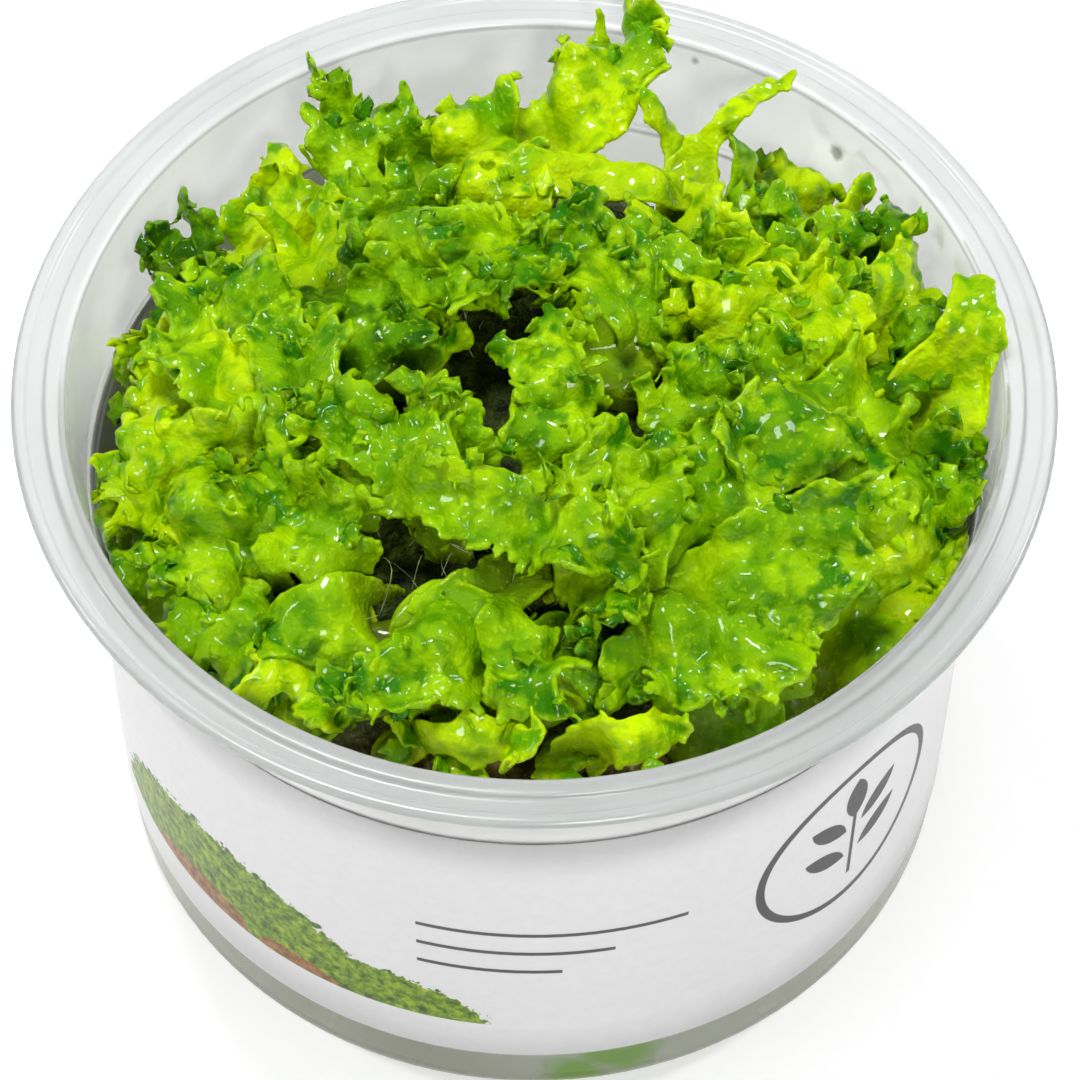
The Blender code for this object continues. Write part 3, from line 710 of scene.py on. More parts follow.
def specks(nodes, links, place, colour):
    ragged = noise_node(nodes, links, place, 700, 1, 0.6)
    for spot, radius in SPECKS:
        away = math_node(nodes, links, "ADD", spot_node(nodes, links, place, spot, radius), ragged)
        away = math_node(nodes, links, "MULTIPLY", away, 0.5)
        mark = ramp_node(nodes, links, away, (0.5, (0.8,)), (0.8, (0,)))
        colour = mix_colour(nodes, links, mark, colour, SPECK_COLOUR)
    return colour


def mouth_line(nodes, links, place, reach, to_right, colour):
    """A broken brown line round the mouth, at the right alone."""
    away = math_node(nodes, links, "SUBTRACT", reach, MOUTH_LINE_RADIUS / RIM_RADIUS)
    line = ramp_node(nodes, links, math_node(nodes, links, "ABSOLUTE", away), (0.0, (1,)), (0.004, (0,)))
    broken = noise_node(nodes, links, place, 220, 1, 0.7)
    broken = ramp_node(nodes, links, broken, (0.48, (0,)), (0.56, (0.6,)))
    right = ramp_node(nodes, links, to_right, (0.5, (0,)), (0.65, (1,)))
    mark = math_node(nodes, links, "MULTIPLY", math_node(nodes, links, "MULTIPLY", line, broken), right)
    return mix_colour(nodes, links, mark, colour, MOUTH_LINE_COLOUR)


def cup_material():
    """Natural polypropylene: milky, faintly drawn by the mould, with a few dark specks on the inner wall. Its
    flange is painted a darker grey and its turns at the mouth and the ledge carry thin grey lines, both
    painted shade.
    """
    made, nodes, links, shader = new_material("cup plastic")
    place = nodes.new("ShaderNodeTexCoord").outputs["Object"]
    split = nodes.new("ShaderNodeSeparateXYZ")
    links.new(place, split.inputs[0])
    height = math_node(nodes, links, "DIVIDE", split.outputs["Z"], MM)
    to_right = math_node(nodes, links, "DIVIDE", split.outputs["X"], RIM_RADIUS * MM)
    reach = math_node(nodes, links, "DIVIDE", reach_node(nodes, links, place), RIM_RADIUS * MM)

    haze = noise_node(nodes, links, place, 60, 1, 0.6)
    wall = ramp_node(nodes, links, haze, (0.3, (0.955, 0.955, 0.955)), (0.7, (0.975, 0.975, 0.975)))
    # Painted shade: the flange is painted a darker grey than the wall, standing in for the shadowed wall
    # under it seen through the plastic.
    rim = ramp_node(nodes, links, haze, (0.3, (0.67, 0.695, 0.69)), (0.7, (0.73, 0.75, 0.745)))
    on_rim = ramp_node(nodes, links, reach, (0.897, (0,)), (0.912, (1,)))
    off_rim = math_node(nodes, links, "SUBTRACT", 1.0, on_rim)
    colour = mix_colour(nodes, links, on_rim, wall, rim)
    colour = foot_of_cup(nodes, links, place, haze, height, colour)
    colour = painted_edge_shade(nodes, links, height, off_rim, colour)
    colour = specks(nodes, links, place, colour)
    colour = mouth_line(nodes, links, place, reach, to_right, colour)
    links.new(colour, shader.inputs["Base Color"])

    links.new(ramp_node(nodes, links, haze, (0.3, (0.17,)), (0.7, (0.26,))), shader.inputs["Roughness"])
    ripples = noise_node(nodes, links, place, 240, 1, 0.5)
    links.new(bump_node(nodes, links, ripples, 0.0001, 0.4), shader.inputs["Normal"])
    shader.inputs["Transmission Weight"].default_value = 0.62
    shader.inputs["IOR"].default_value = 1.4
    return made


class Print:
    """Draws flat shapes in a material, in millimetres along and up the label."""

    def __init__(self, nodes, links, flat):
        self.nodes, self.links = nodes, links
        split = nodes.new("ShaderNodeSeparateXYZ")
        links.new(flat, split.inputs[0])
        self.x, self.y = split.outputs["X"], split.outputs["Y"]

    def math(self, operation, first, second=None, clamp=False):
        return math_node(self.nodes, self.links, operation, first, second, clamp)

    def soft(self, away, edge):
        """1 where away is under edge, falling to 0 over a tenth of a millimetre."""
        return self.math("MULTIPLY", self.math("SUBTRACT", edge, away), 10.0, clamp=True)

    def turned(self, x, y, degrees):
        c, s = math.cos(math.radians(degrees)), math.sin(math.radians(degrees))
        dx, dy = self.math("SUBTRACT", self.x, x), self.math("SUBTRACT", self.y, y)
        along = self.math("ADD", self.math("MULTIPLY", dx, c), self.math("MULTIPLY", dy, s))
        return along, self.math("SUBTRACT", self.math("MULTIPLY", dy, c), self.math("MULTIPLY", dx, s))

    def length(self, a, b):
        return self.math("SQRT", self.math("ADD", self.math("MULTIPLY", a, a), self.math("MULTIPLY", b, b)))

    def ellipse(self, x, y, long, short, degrees=0, rough=None):
        a, b = self.turned(x, y, degrees)
        a, b = self.math("DIVIDE", a, long), self.math("DIVIDE", b, short)
        away = self.length(a, b)
        if rough is not None:
            away = self.math("ADD", away, rough)
        return self.soft(self.math("MULTIPLY", away, short), short)

    def leaf(self, x, y, long, wide, degrees):
        """Where two circles cross: pointed at both ends."""
        a, b = self.turned(x, y, degrees)
        radius = (long * long + wide * wide) / (4 * wide)
        across = self.math("ADD", self.math("ABSOLUTE", b), radius - wide / 2)
        return self.soft(self.length(a, across), radius)

    def bar(self, x, y, long, high, degrees=0):
        a, b = self.turned(x, y, degrees)
        ends = self.soft(self.math("ABSOLUTE", a), long / 2)
        return self.math("MULTIPLY", ends, self.soft(self.math("ABSOLUTE", b), high / 2))

    def join(self, *masks):
        total = masks[0]
        for mask in masks[1:]:
            total = self.math("MAXIMUM", total, mask)
        return total

    def both(self, first, second):
        return self.math("MULTIPLY", first, second)

    def without(self, first, second):
        return self.math("MULTIPLY", first, self.math("SUBTRACT", 1.0, second))


def label_material():
    """Pale satin film with a plain print: a sprig in a ring, three rules and a low green bank over stones."""
    made, nodes, links, shader = new_material("label film")
    place = nodes.new("ShaderNodeTexCoord").outputs["Object"]
    uv = nodes.new("ShaderNodeUVMap")
    uv.uv_map = "print"
    scale = nodes.new("ShaderNodeMapping")
    scale.inputs["Scale"].default_value = (PRINT_SCALE, PRINT_SCALE, 1)
    links.new(uv.outputs["UV"], scale.inputs["Vector"])
    draw = Print(nodes, links, scale.outputs["Vector"])
    grain = noise_node(nodes, links, place, 900, 2, 0.5)
    colour = ramp_node(nodes, links, grain, (0.3, (0.84, 0.84, 0.843)), (0.7, (0.87, 0.87, 0.873)))

    ring = draw.without(draw.ellipse(34, 30, 12, 12), draw.ellipse(34, 30, 11, 11))
    sprig = [draw.bar(34, 27.5, 11, 0.6, 90), draw.leaf(34, 36, 7, 3, 90)]
    for side in (-1, 1):
        sprig.append(draw.leaf(34 + side * 3.4, 33, 6.5, 2.6, 90 - side * 48))
        sprig.append(draw.leaf(34 + side * 3.6, 28, 6.5, 2.6, 90 - side * 56))
    rules = [draw.bar(2, 32, 26, 0.7), draw.bar(-1.5, 28.5, 19, 0.7), draw.bar(-4, 25, 14, 0.7)]
    colour = mix_colour(nodes, links, draw.join(ring, *sprig, *rules), colour, (0.075, 0.075, 0.075))

    ragged = noise_node(nodes, links, place, 900, 4, 0.7)
    edge = math_node(nodes, links, "MULTIPLY", math_node(nodes, links, "SUBTRACT", ragged, 0.5), 0.35)
    ground = draw.bar(-28, 34, 90, 40)
    bank = draw.join(draw.ellipse(-34, 13, 19, 15, 0, edge), draw.ellipse(-17, 13, 13, 8, 0, edge))
    bank = draw.both(bank, ground)
    greens = ramp_node(nodes, links, ragged, (0.35, (0.03, 0.09, 0.004)), (0.5, (0.16, 0.30, 0.008)),
                       (0.65, (0.42, 0.55, 0.02)))
    colour = mix_colour(nodes, links, bank, colour, greens)
    stones = draw.join(draw.ellipse(-38, 14, 8, 3.5, 8, edge), draw.ellipse(-24, 14, 5, 2.4, -6, edge))
    stones = draw.both(stones, ground)
    browns = ramp_node(nodes, links, ragged, (0.4, (0.20, 0.08, 0.02)), (0.6, (0.46, 0.22, 0.07)))
    colour = mix_colour(nodes, links, stones, colour, browns)
    links.new(colour, shader.inputs["Base Color"])
    links.new(bump_node(nodes, links, grain, 0.00003, 0.3), shader.inputs["Normal"])
    shader.inputs["Roughness"].default_value = 0.38
    shader.inputs["Transmission Weight"].default_value = 0.3
    shader.inputs["IOR"].default_value = 1.3
    return made


def gel_material():
    made, nodes, links, shader = new_material("growth gel")
    place = nodes.new("ShaderNodeTexCoord").outputs["Object"]
    cloud = noise_node(nodes, links, place, 70, 3, 0.6)
    colour = ramp_node(nodes, links, cloud, (0.3, (0.14, 0.155, 0.07)), (0.7, (0.23, 0.25, 0.13)))
    colour = mix_colour(nodes, links, gel_streaks(nodes, links, place), colour, (0.10, 0.30, 0.003))
    links.new(colour, shader.inputs["Base Color"])
    shader.inputs["Roughness"].default_value = 0.12
    shader.inputs["Transmission Weight"].default_value = 0.25
    shader.inputs["IOR"].default_value = 1.34
    return made


def mat_material():
    made, nodes, links, shader = new_material("rhizoid mat")
    place = nodes.new("ShaderNodeTexCoord").outputs["Object"]
    tangle = noise_node(nodes, links, place, 420, 3, 0.7)
    colour = ramp_node(nodes, links, tangle, (0.35, (0.006, 0.008, 0.002)), (0.55, (0.03, 0.05, 0.004)),
                       (0.75, (0.10, 0.14, 0.012)))
    # Painted light: near the wall the mat is mixed towards a pale olive, standing in for light that comes in
    # through the cup's wall.
    wall_glow_mask = math_node(nodes, links, "MULTIPLY", reach_node(nodes, links, place), 1 / (MAT_RADIUS * MM))
    wall_glow_mask = ramp_node(nodes, links, wall_glow_mask, (0.80, (0,)), (0.93, (1,)))
    light = ramp_node(nodes, links, tangle, (0.35, (0.24, 0.32, 0.06)), (0.7, (0.55, 0.60, 0.30)))
    colour = mix_colour(nodes, links, wall_glow_mask, colour, light)
    split = nodes.new("ShaderNodeSeparateXYZ")
    links.new(place, split.inputs[0])
    front = math_node(nodes, links, "MULTIPLY", split.outputs["Y"], -1 / (MAT_RADIUS * MM))
    front = ramp_node(nodes, links, front, (0.72, (0,)), (0.84, (1,)))
    brown = ramp_node(nodes, links, tangle, (0.4, (0.03, 0.022, 0.006)), (0.55, (0.12, 0.09, 0.015)),
                      (0.7, (0.42, 0.33, 0.16)))
    colour = mix_colour(nodes, links, front, colour, brown)
    links.new(colour, shader.inputs["Base Color"])
    links.new(bump_node(nodes, links, tangle, 0.0012, 1.0), shader.inputs["Normal"])
    shader.inputs["Roughness"].default_value = 0.55
    shader.inputs["Specular IOR Level"].default_value = 0.12
    return made


def thread_material():
    made, nodes, links, shader = new_material("rhizoid threads")
    place = nodes.new("ShaderNodeTexCoord").outputs["Object"]
    tint = noise_node(nodes, links, place, 300, 2, 0.5)
    links.new(ramp_node(nodes, links, tint, (0.4, (0.12, 0.15, 0.02)), (0.6, (0.50, 0.56, 0.30))),
              shader.inputs["Base Color"])
    shader.inputs["Roughness"].default_value = 0.3
    return made


def floor_material():
    made, nodes, links, shader = new_material("studio floor")
    place = nodes.new("ShaderNodeTexCoord").outputs["Object"]
    grain = noise_node(nodes, links, place, 8, 2, 0.5)
    links.new(ramp_node(nodes, links, grain, (0.3, (0.93, 0.93, 0.93)), (0.7, (0.95, 0.95, 0.95))),
              shader.inputs["Base Color"])
    shader.inputs["Roughness"].default_value = 0.9
    shader.inputs["Emission Color"].default_value = (1, 1, 1, 1)
    shader.inputs["Emission Strength"].default_value = 0.34
    return made


# Cup, label, gel and mat

def turned_piece(name, profile, turns=CUP_TURNS):
    """A ring drawn up, in and down again by extruding it from point to point of an outline."""
    start_fresh()
    first_radius, first_height = profile[0]
    bpy.ops.mesh.primitive_circle_add(vertices=turns, radius=first_radius * MM, fill_type="NGON",
                                      location=(0, 0, 0))
    piece = bpy.context.object
    piece.name = name
    bpy.ops.object.mode_set(mode="EDIT")
    bpy.ops.mesh.select_all(action="SELECT")
    bpy.ops.transform.translate(value=(0, 0, first_height * MM))
    before = profile[0]
    for point in profile[1:]:
        bpy.ops.mesh.extrude_region()
        bpy.ops.transform.translate(value=(0, 0, (point[1] - before[1]) * MM))
        scale = point[0] / before[0]
        bpy.ops.transform.resize(value=(scale, scale, 1), center_override=(0, 0, 0))
        before = point
    bpy.ops.mesh.select_all(action="SELECT")
    bpy.ops.mesh.normals_make_consistent(inside=False)
    bpy.ops.object.mode_set(mode="OBJECT")
    piece.data.shade_smooth()
    return piece


def rounded(profile, radius=0.25):
    """The outline with its corners rounded."""
    points = [Vector(point) for point in profile]
    out = [points[0]]
    for before, corner, after in zip(points, points[1:], points[2:]):
        back, on = before - corner, after - corner
        cut = min(radius, back.length * 0.45, on.length * 0.45)
        first, last = corner + back.normalized() * cut, corner + on.normalized() * cut
        for step in range(CORNER_STEPS + 1):
            t = step / CORNER_STEPS
            out.append(first * (1 - t) ** 2 + corner * 2 * t * (1 - t) + last * t * t)
    out.append(points[-1])
    return [tuple(point) for point in out]


def make_cup(finish):
    under_flange = RIM_HEIGHT - FLANGE_THICKNESS
    groove = RIM_HEIGHT - GROOVE_DEPTH
    step_radius = LEDGE_RADIUS + LEDGE_STEP
    profile = [(FOOT_INNER_RADIUS, FOOT_RECESS), (FOOT_INNER_RADIUS + 0.8, 0)]
    for step in range(10):
        angle = math.radians(10 * step)
        radius = BASE_RADIUS - BASE_CORNER * (1 - math.sin(angle))
        profile.append((radius, BASE_CORNER * (1 - math.cos(angle))))
    profile += [
        (LEDGE_RADIUS, LEDGE_HEIGHT - 0.3),
        (step_radius, LEDGE_HEIGHT + 0.5),
        (MOUTH_RADIUS + 0.7, under_flange - 0.3),
        (RIM_RADIUS - 0.5, under_flange),
        (RIM_RADIUS, under_flange + 0.4),
        (RIM_RADIUS, RIM_HEIGHT - 0.4),
        (RIM_RADIUS - 0.4, RIM_HEIGHT),
        (GROOVE_RADIUS + 0.3, RIM_HEIGHT),
        (GROOVE_RADIUS, groove),
        (BEAD_RADIUS + 0.3, groove),
        (BEAD_RADIUS, RIM_HEIGHT),
        (MOUTH_RADIUS + MOUTH_ROUND, RIM_HEIGHT),
        (MOUTH_RADIUS, RIM_HEIGHT - MOUTH_ROUND),
        (step_radius - WALL, LEDGE_HEIGHT + 0.5),
        (LEDGE_RADIUS - WALL, LEDGE_HEIGHT - 0.3),
        (float(inner_radius(BASE_CORNER)), BASE_CORNER),
        (BASE_RADIUS - BASE_CORNER, FOOT_RECESS + FLOOR),
        (2.0, FOOT_RECESS + FLOOR),
    ]
    cup = turned_piece("cup_fine", rounded(profile))
    settle(cup, finish, "cup_plastic", "cup")


def make_gel(finish):
    bottom = FOOT_RECESS + FLOOR + 0.15
    profile = [
        (2.0, bottom),
        (BASE_RADIUS - BASE_CORNER - 0.2, bottom),
        (float(inner_radius(3.4)) - 0.2, 3.4),
        (float(inner_radius(GEL_TOP)) - 0.2, GEL_TOP - 0.5),
        (float(inner_radius(GEL_TOP)) - 1.2, GEL_TOP),
        (2.0, GEL_TOP),
    ]
    gel = turned_piece("gel_fine", rounded(profile, 0.6), 96)
    settle(gel, finish, "growth_gel", "growth_gel")


def make_label(finish):
    """The sleeve is a strip of the cup's wall with a thin wall of its own."""
    start_fresh()
    columns, rows = 150, 6
    bpy.ops.mesh.primitive_grid_add(x_subdivisions=columns, y_subdivisions=rows, size=2 * MM)
    label = bpy.context.object
    label.name = "label_fine"
    flat = np.empty(len(label.data.vertices) * 3)
    label.data.vertices.foreach_get("co", flat)
    flat = flat.reshape(-1, 3) / MM
    angle = np.radians(270 + LABEL_ANGLE / 2 * flat[:, 0])
    height = LABEL_BOTTOM + (LABEL_TOP - LABEL_BOTTOM) * (flat[:, 1] + 1) / 2
    radius = outer_radius(height) + LABEL_GAP
    points = np.stack((radius * np.cos(angle), radius * np.sin(angle), height), axis=1)
    label.data.vertices.foreach_set("co", (points * MM).ravel())
    flat_print = label.data.uv_layers.new(name="print")
    drawn = np.stack((np.radians(LABEL_ANGLE / 2 * flat[:, 0]) * BASE_RADIUS, height), axis=1) / PRINT_SCALE
    flat_print.data.foreach_set("uv", drawn[faces_of(label.data)].ravel())
    shape_with(label, "SOLIDIFY", thickness=LABEL_THICKNESS * MM, offset=1.0)
    label.data.shade_smooth()
    settle(label, finish, "label_paper", "label")


def make_mat(finish):
    """The lumpy plug of rhizoids and old growth."""
    start_fresh()
    bpy.ops.mesh.primitive_uv_sphere_add(segments=96, ring_count=48, radius=1.0)
    mat = bpy.context.object
    mat.name = "rhizoid_mat_fine"
    flat = np.empty(len(mat.data.vertices) * 3)
    mat.data.vertices.foreach_get("co", flat)
    flat = flat.reshape(-1, 3)
    reach = np.hypot(flat[:, 0], flat[:, 1])
    out = np.clip(reach * 1.25, 0, 1) ** 0.9
    x = np.where(reach > 0, flat[:, 0] / np.maximum(reach, 1e-6), 0) * out * (MAT_RADIUS - MAT_ROOM)
    y = np.where(reach > 0, flat[:, 1] / np.maximum(reach, 1e-6), 0) * out * (MAT_RADIUS - MAT_ROOM)
    top = np.array([mat_height(a, b) for a, b in zip(x, y)]) - MAT_ROOM
    margin = np.clip((np.hypot(x, y) / MAT_RADIUS - MAT_SHOULDER) / (1 - MAT_SHOULDER), 0, 1)
    top -= MAT_EDGE_FALL * margin ** 2
    low = GEL_TOP + MAT_ROOM
    share = np.clip((flat[:, 2] + 0.6) / 1.2, 0, 1)
    z = low + (top - low) * share
    mat.data.vertices.foreach_set("co", (np.stack((x, y, z), axis=1) * MM).ravel())
    mat.data.shade_smooth()
    settle(mat, finish, "rhizoids", "rhizoid_mat")


def make_threads(finish):
    """Pale rhizoids that stand and hang in the dark hollows, each a thin three-sided tube."""
    rng = np.random.default_rng(THREAD_SEED)
    points, faces = [], []
    for _ in range(THREADS):
        x, y, spread = HOLLOWS[rng.integers(len(HOLLOWS))]
        x, y = x + rng.normal() * spread, y + rng.normal() * spread
        start = np.array((x, y, mat_height(x, y) - 1.0))
        reach = rng.normal(size=3) * (3.5, 3.5, 1.0) + (0, 0, rng.uniform(1.0, 4.5))
        bow = rng.normal(size=3) * 1.4
        steps = np.linspace(0, 1, THREAD_STEPS + 1)[:, None]
        path = start + reach * steps + bow * np.sin(steps * math.pi)
        first = len(points)
        for number, middle in enumerate(path):
            radius = THREAD_RADIUS * (1 - 0.6 * number / THREAD_STEPS)
            for corner in range(3):
                turn = math.tau * corner / 3
                points.append(middle + radius * np.array((math.cos(turn), math.sin(turn), 0)))
        for number in range(THREAD_STEPS):
            row = first + 3 * number
            for corner in range(3):
                on = (corner + 1) % 3
                faces.append((row + corner, row + on, row + 3 + on, row + 3 + corner))
        last = first + 3 * THREAD_STEPS
        faces.append((first + 2, first + 1, first))
        faces.append((last, last + 1, last + 2))
    mesh = bpy.data.meshes.new("rhizoid_threads_fine")
    mesh.from_pydata(inside_cup(np.array(points), 0.8) * MM, [], faces)
    threads = bpy.data.objects.new("rhizoid_threads_fine", mesh)
    bpy.context.scene.collection.objects.link(threads)
    mesh.shade_smooth()
    settle(threads, finish, "rhizoids", "rhizoid_mat")


# Thalli

class Axis:
    """A thallus's middle line, from its foot in the mat past where it rises to its tip."""

    def __init__(self, rise, tip):
        lift = Vector((0, 0, RIM_HEIGHT))
        rise, tip = Vector(rise) + lift, Vector(tip) + lift
        foot = rise + 0.35 * (rise - tip)
        foot.z = min(mat_height(foot.x, foot.y) - 2.0, rise.z - 2.0)
        bend = 2 * rise - (foot + tip) / 2
        outward = Vector((rise.x, rise.y, 0)) / RIM_RADIUS
        facing = np.array((FACING + 0.35 * outward).normalized())
        foot, bend, tip = (np.array(point) for point in (foot, bend, tip))
        self.s = np.linspace(0, 1, 60)
        s = self.s[:, None]
        self.centre = foot * (1 - s) ** 2 + bend * 2 * s * (1 - s) + tip * s * s
        along = (bend - foot) * (1 - s) + (tip - bend) * s
        self.along = along / np.linalg.norm(along, axis=1)[:, None]
        side = np.cross(self.along, facing)
        self.side = side / np.linalg.norm(side, axis=1)[:, None]
        self.normal = np.cross(self.side, self.along)
        steps = np.linalg.norm(np.diff(self.centre, axis=0), axis=1)
        self.v = np.concatenate(((0,), np.cumsum(steps)))
        self.length = self.v[-1]

    def read(self, rows, v):
        """Rows of the axis read at distances v from the foot."""
        return np.stack([np.interp(v, self.v, rows[:, k]) for k in range(3)], axis=1)

    def place(self, u, v, lift):
        """Points of the curved sheet, u to the side, v along, and lift off it."""
        over = np.maximum(v - self.length, 0)
        points = self.read(self.centre, v) + self.along[-1] * over[:, None]
        return points + self.read(self.side, v) * u[:, None] + self.read(self.normal, v) * lift[:, None]


def capsule(u, v, start, end, radius, last_radius=None):
    """How far inside a bar with round ends each point lies. The radius may taper."""
    a, b = np.array(start), np.array(end)
    line = b - a
    share = np.clip(((u - a[0]) * line[0] + (v - a[1]) * line[1]) / (line @ line), 0, 1)
    taper = 0 if last_radius is None else (last_radius - radius) * share
    return radius + taper - np.hypot(u - a[0] - line[0] * share, v - a[1] - line[1] * share)


def blend_max(first, second, soft=0.8):
    """The greater of two fields, with the corner between them filled."""
    close = np.maximum(soft - np.abs(first - second), 0) / soft
    return np.maximum(first, second) + close * close * soft / 4


def drawn_field(chance, bars, width, frill, u, v):
    """The same for an outline that is drawn bar by bar, with a stem up to it and a finely toothed margin."""
    first = bars[0]
    field = capsule(u, v, (0, 0), first[:2], 0.3 * width, first[4])
    for bar in bars:
        field = blend_max(field, capsule(u, v, bar[:2], bar[2:4], bar[4], bar[5]), 0.6)
    broad, fine = waves(chance, 3.6), waves(chance, 1.7)
    return field + (0.06 + 0.2 * frill) * broad(u, v) + (0.04 + 0.36 * frill) * (1 - 2 * np.abs(fine(u, v)))


def outline_field(chance, axis, width, frill, u, v):
    """How far inside the thallus's lobed and toothed outline each point of the sheet lies, in millimetres."""
    length = axis.length
    s = np.interp(v, axis.v, axis.s)
    half = WIDTH_SHARE * width / 2 * (0.4 + 0.6 * np.sin(np.minimum(1, s / 0.7) * math.pi / 2))
    field = np.minimum(half - np.abs(u), 0.84 * length - v)
    full = WIDTH_SHARE * width / 2
    forks = 3 if width > 7 else 2
    for fork in range(forks):
        lean = (fork / (forks - 1) * 2 - 1) * chance.uniform(0.5, 0.8)
        reach = chance.uniform(0.96, 1.08) * length
        start = (lean * full * 0.3, length * 0.5)
        end = (lean * full * 0.95, reach - full * 0.35)
        field = blend_max(field, capsule(u, v, start, end, full * chance.uniform(0.3, 0.42)))
    for _ in range(int(2 + 4 * frill)):
        flank = chance.choice((-1, 1))
        up = chance.uniform(0.35, 0.9) * length
        out = full * chance.uniform(0.95, 1.25)
        end = (flank * out, up + chance.uniform(0.5, 2.5))
        field = blend_max(field, capsule(u, v, (0, up), end, chance.uniform(0.6, 1.3)))
    broad, fine = waves(chance, 4.2), waves(chance, 1.9)
    field = field + (0.25 + 0.35 * frill) * broad(u, v)
    field = field + (0.15 + 0.45 * frill) * (1 - 2 * np.abs(fine(u, v)))
    return np.where(v < 0.3 * length, np.minimum(field, half - np.abs(u)), field)


def snapped_sheet(field, u, v):
    """Keeps the cells inside the outline and draws the points just outside of it in to the outline."""
    rows, columns = field.shape
    inside = field > 0
    us, vs = u.copy(), v.copy()
    best = np.full(field.shape, -1.0)
    for dr in (-1, 0, 1):
        for dc in (-1, 0, 1):
            if dr == dc == 0:
                continue
            r0, r1 = max(0, dr), rows + min(0, dr)
            c0, c1 = max(0, dc), columns + min(0, dc)
            here = (slice(r0, r1), slice(c0, c1))
            there = (slice(r0 - dr, r1 - dr), slice(c0 - dc, c1 - dc))
            better = ~inside[here] & (field[there] > 0) & (field[there] > best[here])
            share = field[there] / np.maximum(field[there] - field[here], 1e-6)
            new_u = u[there] + (u[here] - u[there]) * share
            new_v = v[there] + (v[here] - v[there]) * share
            us[here] = np.where(better, new_u, us[here])
            vs[here] = np.where(better, new_v, vs[here])
            best[here] = np.where(better, field[there], best[here])
    corners = inside[:-1, :-1].astype(int) + inside[1:, :-1] + inside[1:, 1:] + inside[:-1, 1:]
    return us, vs, np.maximum(field, 0), corners >= 2


def keep_largest(bm):
    left = set(bm.verts)
    best = set()
    while left:
        island = {left.pop()}
        edge = list(island)
        while edge:
            vert = edge.pop()
            for link in vert.link_edges:
                other = link.other_vert(vert)
                if other in left:
                    left.remove(other)
                    island.add(other)
                    edge.append(other)
        if len(island) > len(best):
            best = island
    bmesh.ops.delete(bm, geom=[vert for vert in bm.verts if vert not in best], context="VERTS")


def cloud_texture(name, kind, size):
    made = bpy.data.textures.new(name, kind)
    made.noise_scale = size * MM
    return made


GRAIN = cloud_texture("grain", "CLOUDS", 1.1)
LUMPS = cloud_texture("lumps", "CLOUDS", 4.0)
CELLS = cloud_texture("cells", "VORONOI", 1.7)


def lobule_template():
    """A small thin leaf with a toothed tip, as points along, across and through it, and its faces."""
    start_fresh()
    bpy.ops.mesh.primitive_grid_add(x_subdivisions=LOBULE_SIDE - 1, y_subdivisions=LOBULE_SIDE - 1, size=2)
    leaf = bpy.context.object
    flat = np.array([vert.co for vert in leaf.data.vertices])
    t, row = flat[:, 0], (flat[:, 1] + 1) / 2
    index = np.round(row * (LOBULE_SIDE - 1)).astype(int)
    column = np.round((t + 1) * (LOBULE_SIDE - 1) / 2).astype(int)
    along = row * np.where(index > 1, LOBULE_TIP[column], 0.85)
    across = t * LOBULE_HALF[index] * np.where(index % 2, 1.0, 0.86)
    leaf.data.vertices.foreach_set("co", np.stack((along, across, 0 * t), axis=1).ravel())
    inner = leaf.vertex_groups.new(name="inner")
    middle = (np.abs(t) < 0.99) & (row < 0.99) & (row > 0.01)
    inner.add([int(k) for k in np.nonzero(middle)[0]], 1.0, "REPLACE")
    shape_with(leaf, "SOLIDIFY", thickness=LOBULE_THICKNESS, offset=0, vertex_group="inner")
    bm = bmesh.new()
    bm.from_mesh(leaf.data)
    bmesh.ops.remove_doubles(bm, verts=bm.verts, dist=0.001)
    bmesh.ops.recalc_face_normals(bm, faces=bm.faces)
    points = np.array([vert.co for vert in bm.verts])
    faces = [[vert.index for vert in face.verts] for face in bm.faces]
    bm.free()
    bpy.data.objects.remove(leaf)
    return points, faces


LOBULE_POINTS, LOBULE_FACES = lobule_template()


def unit(rows):
    return rows / np.maximum(np.linalg.norm(rows, axis=1), 1e-9)[:, None]


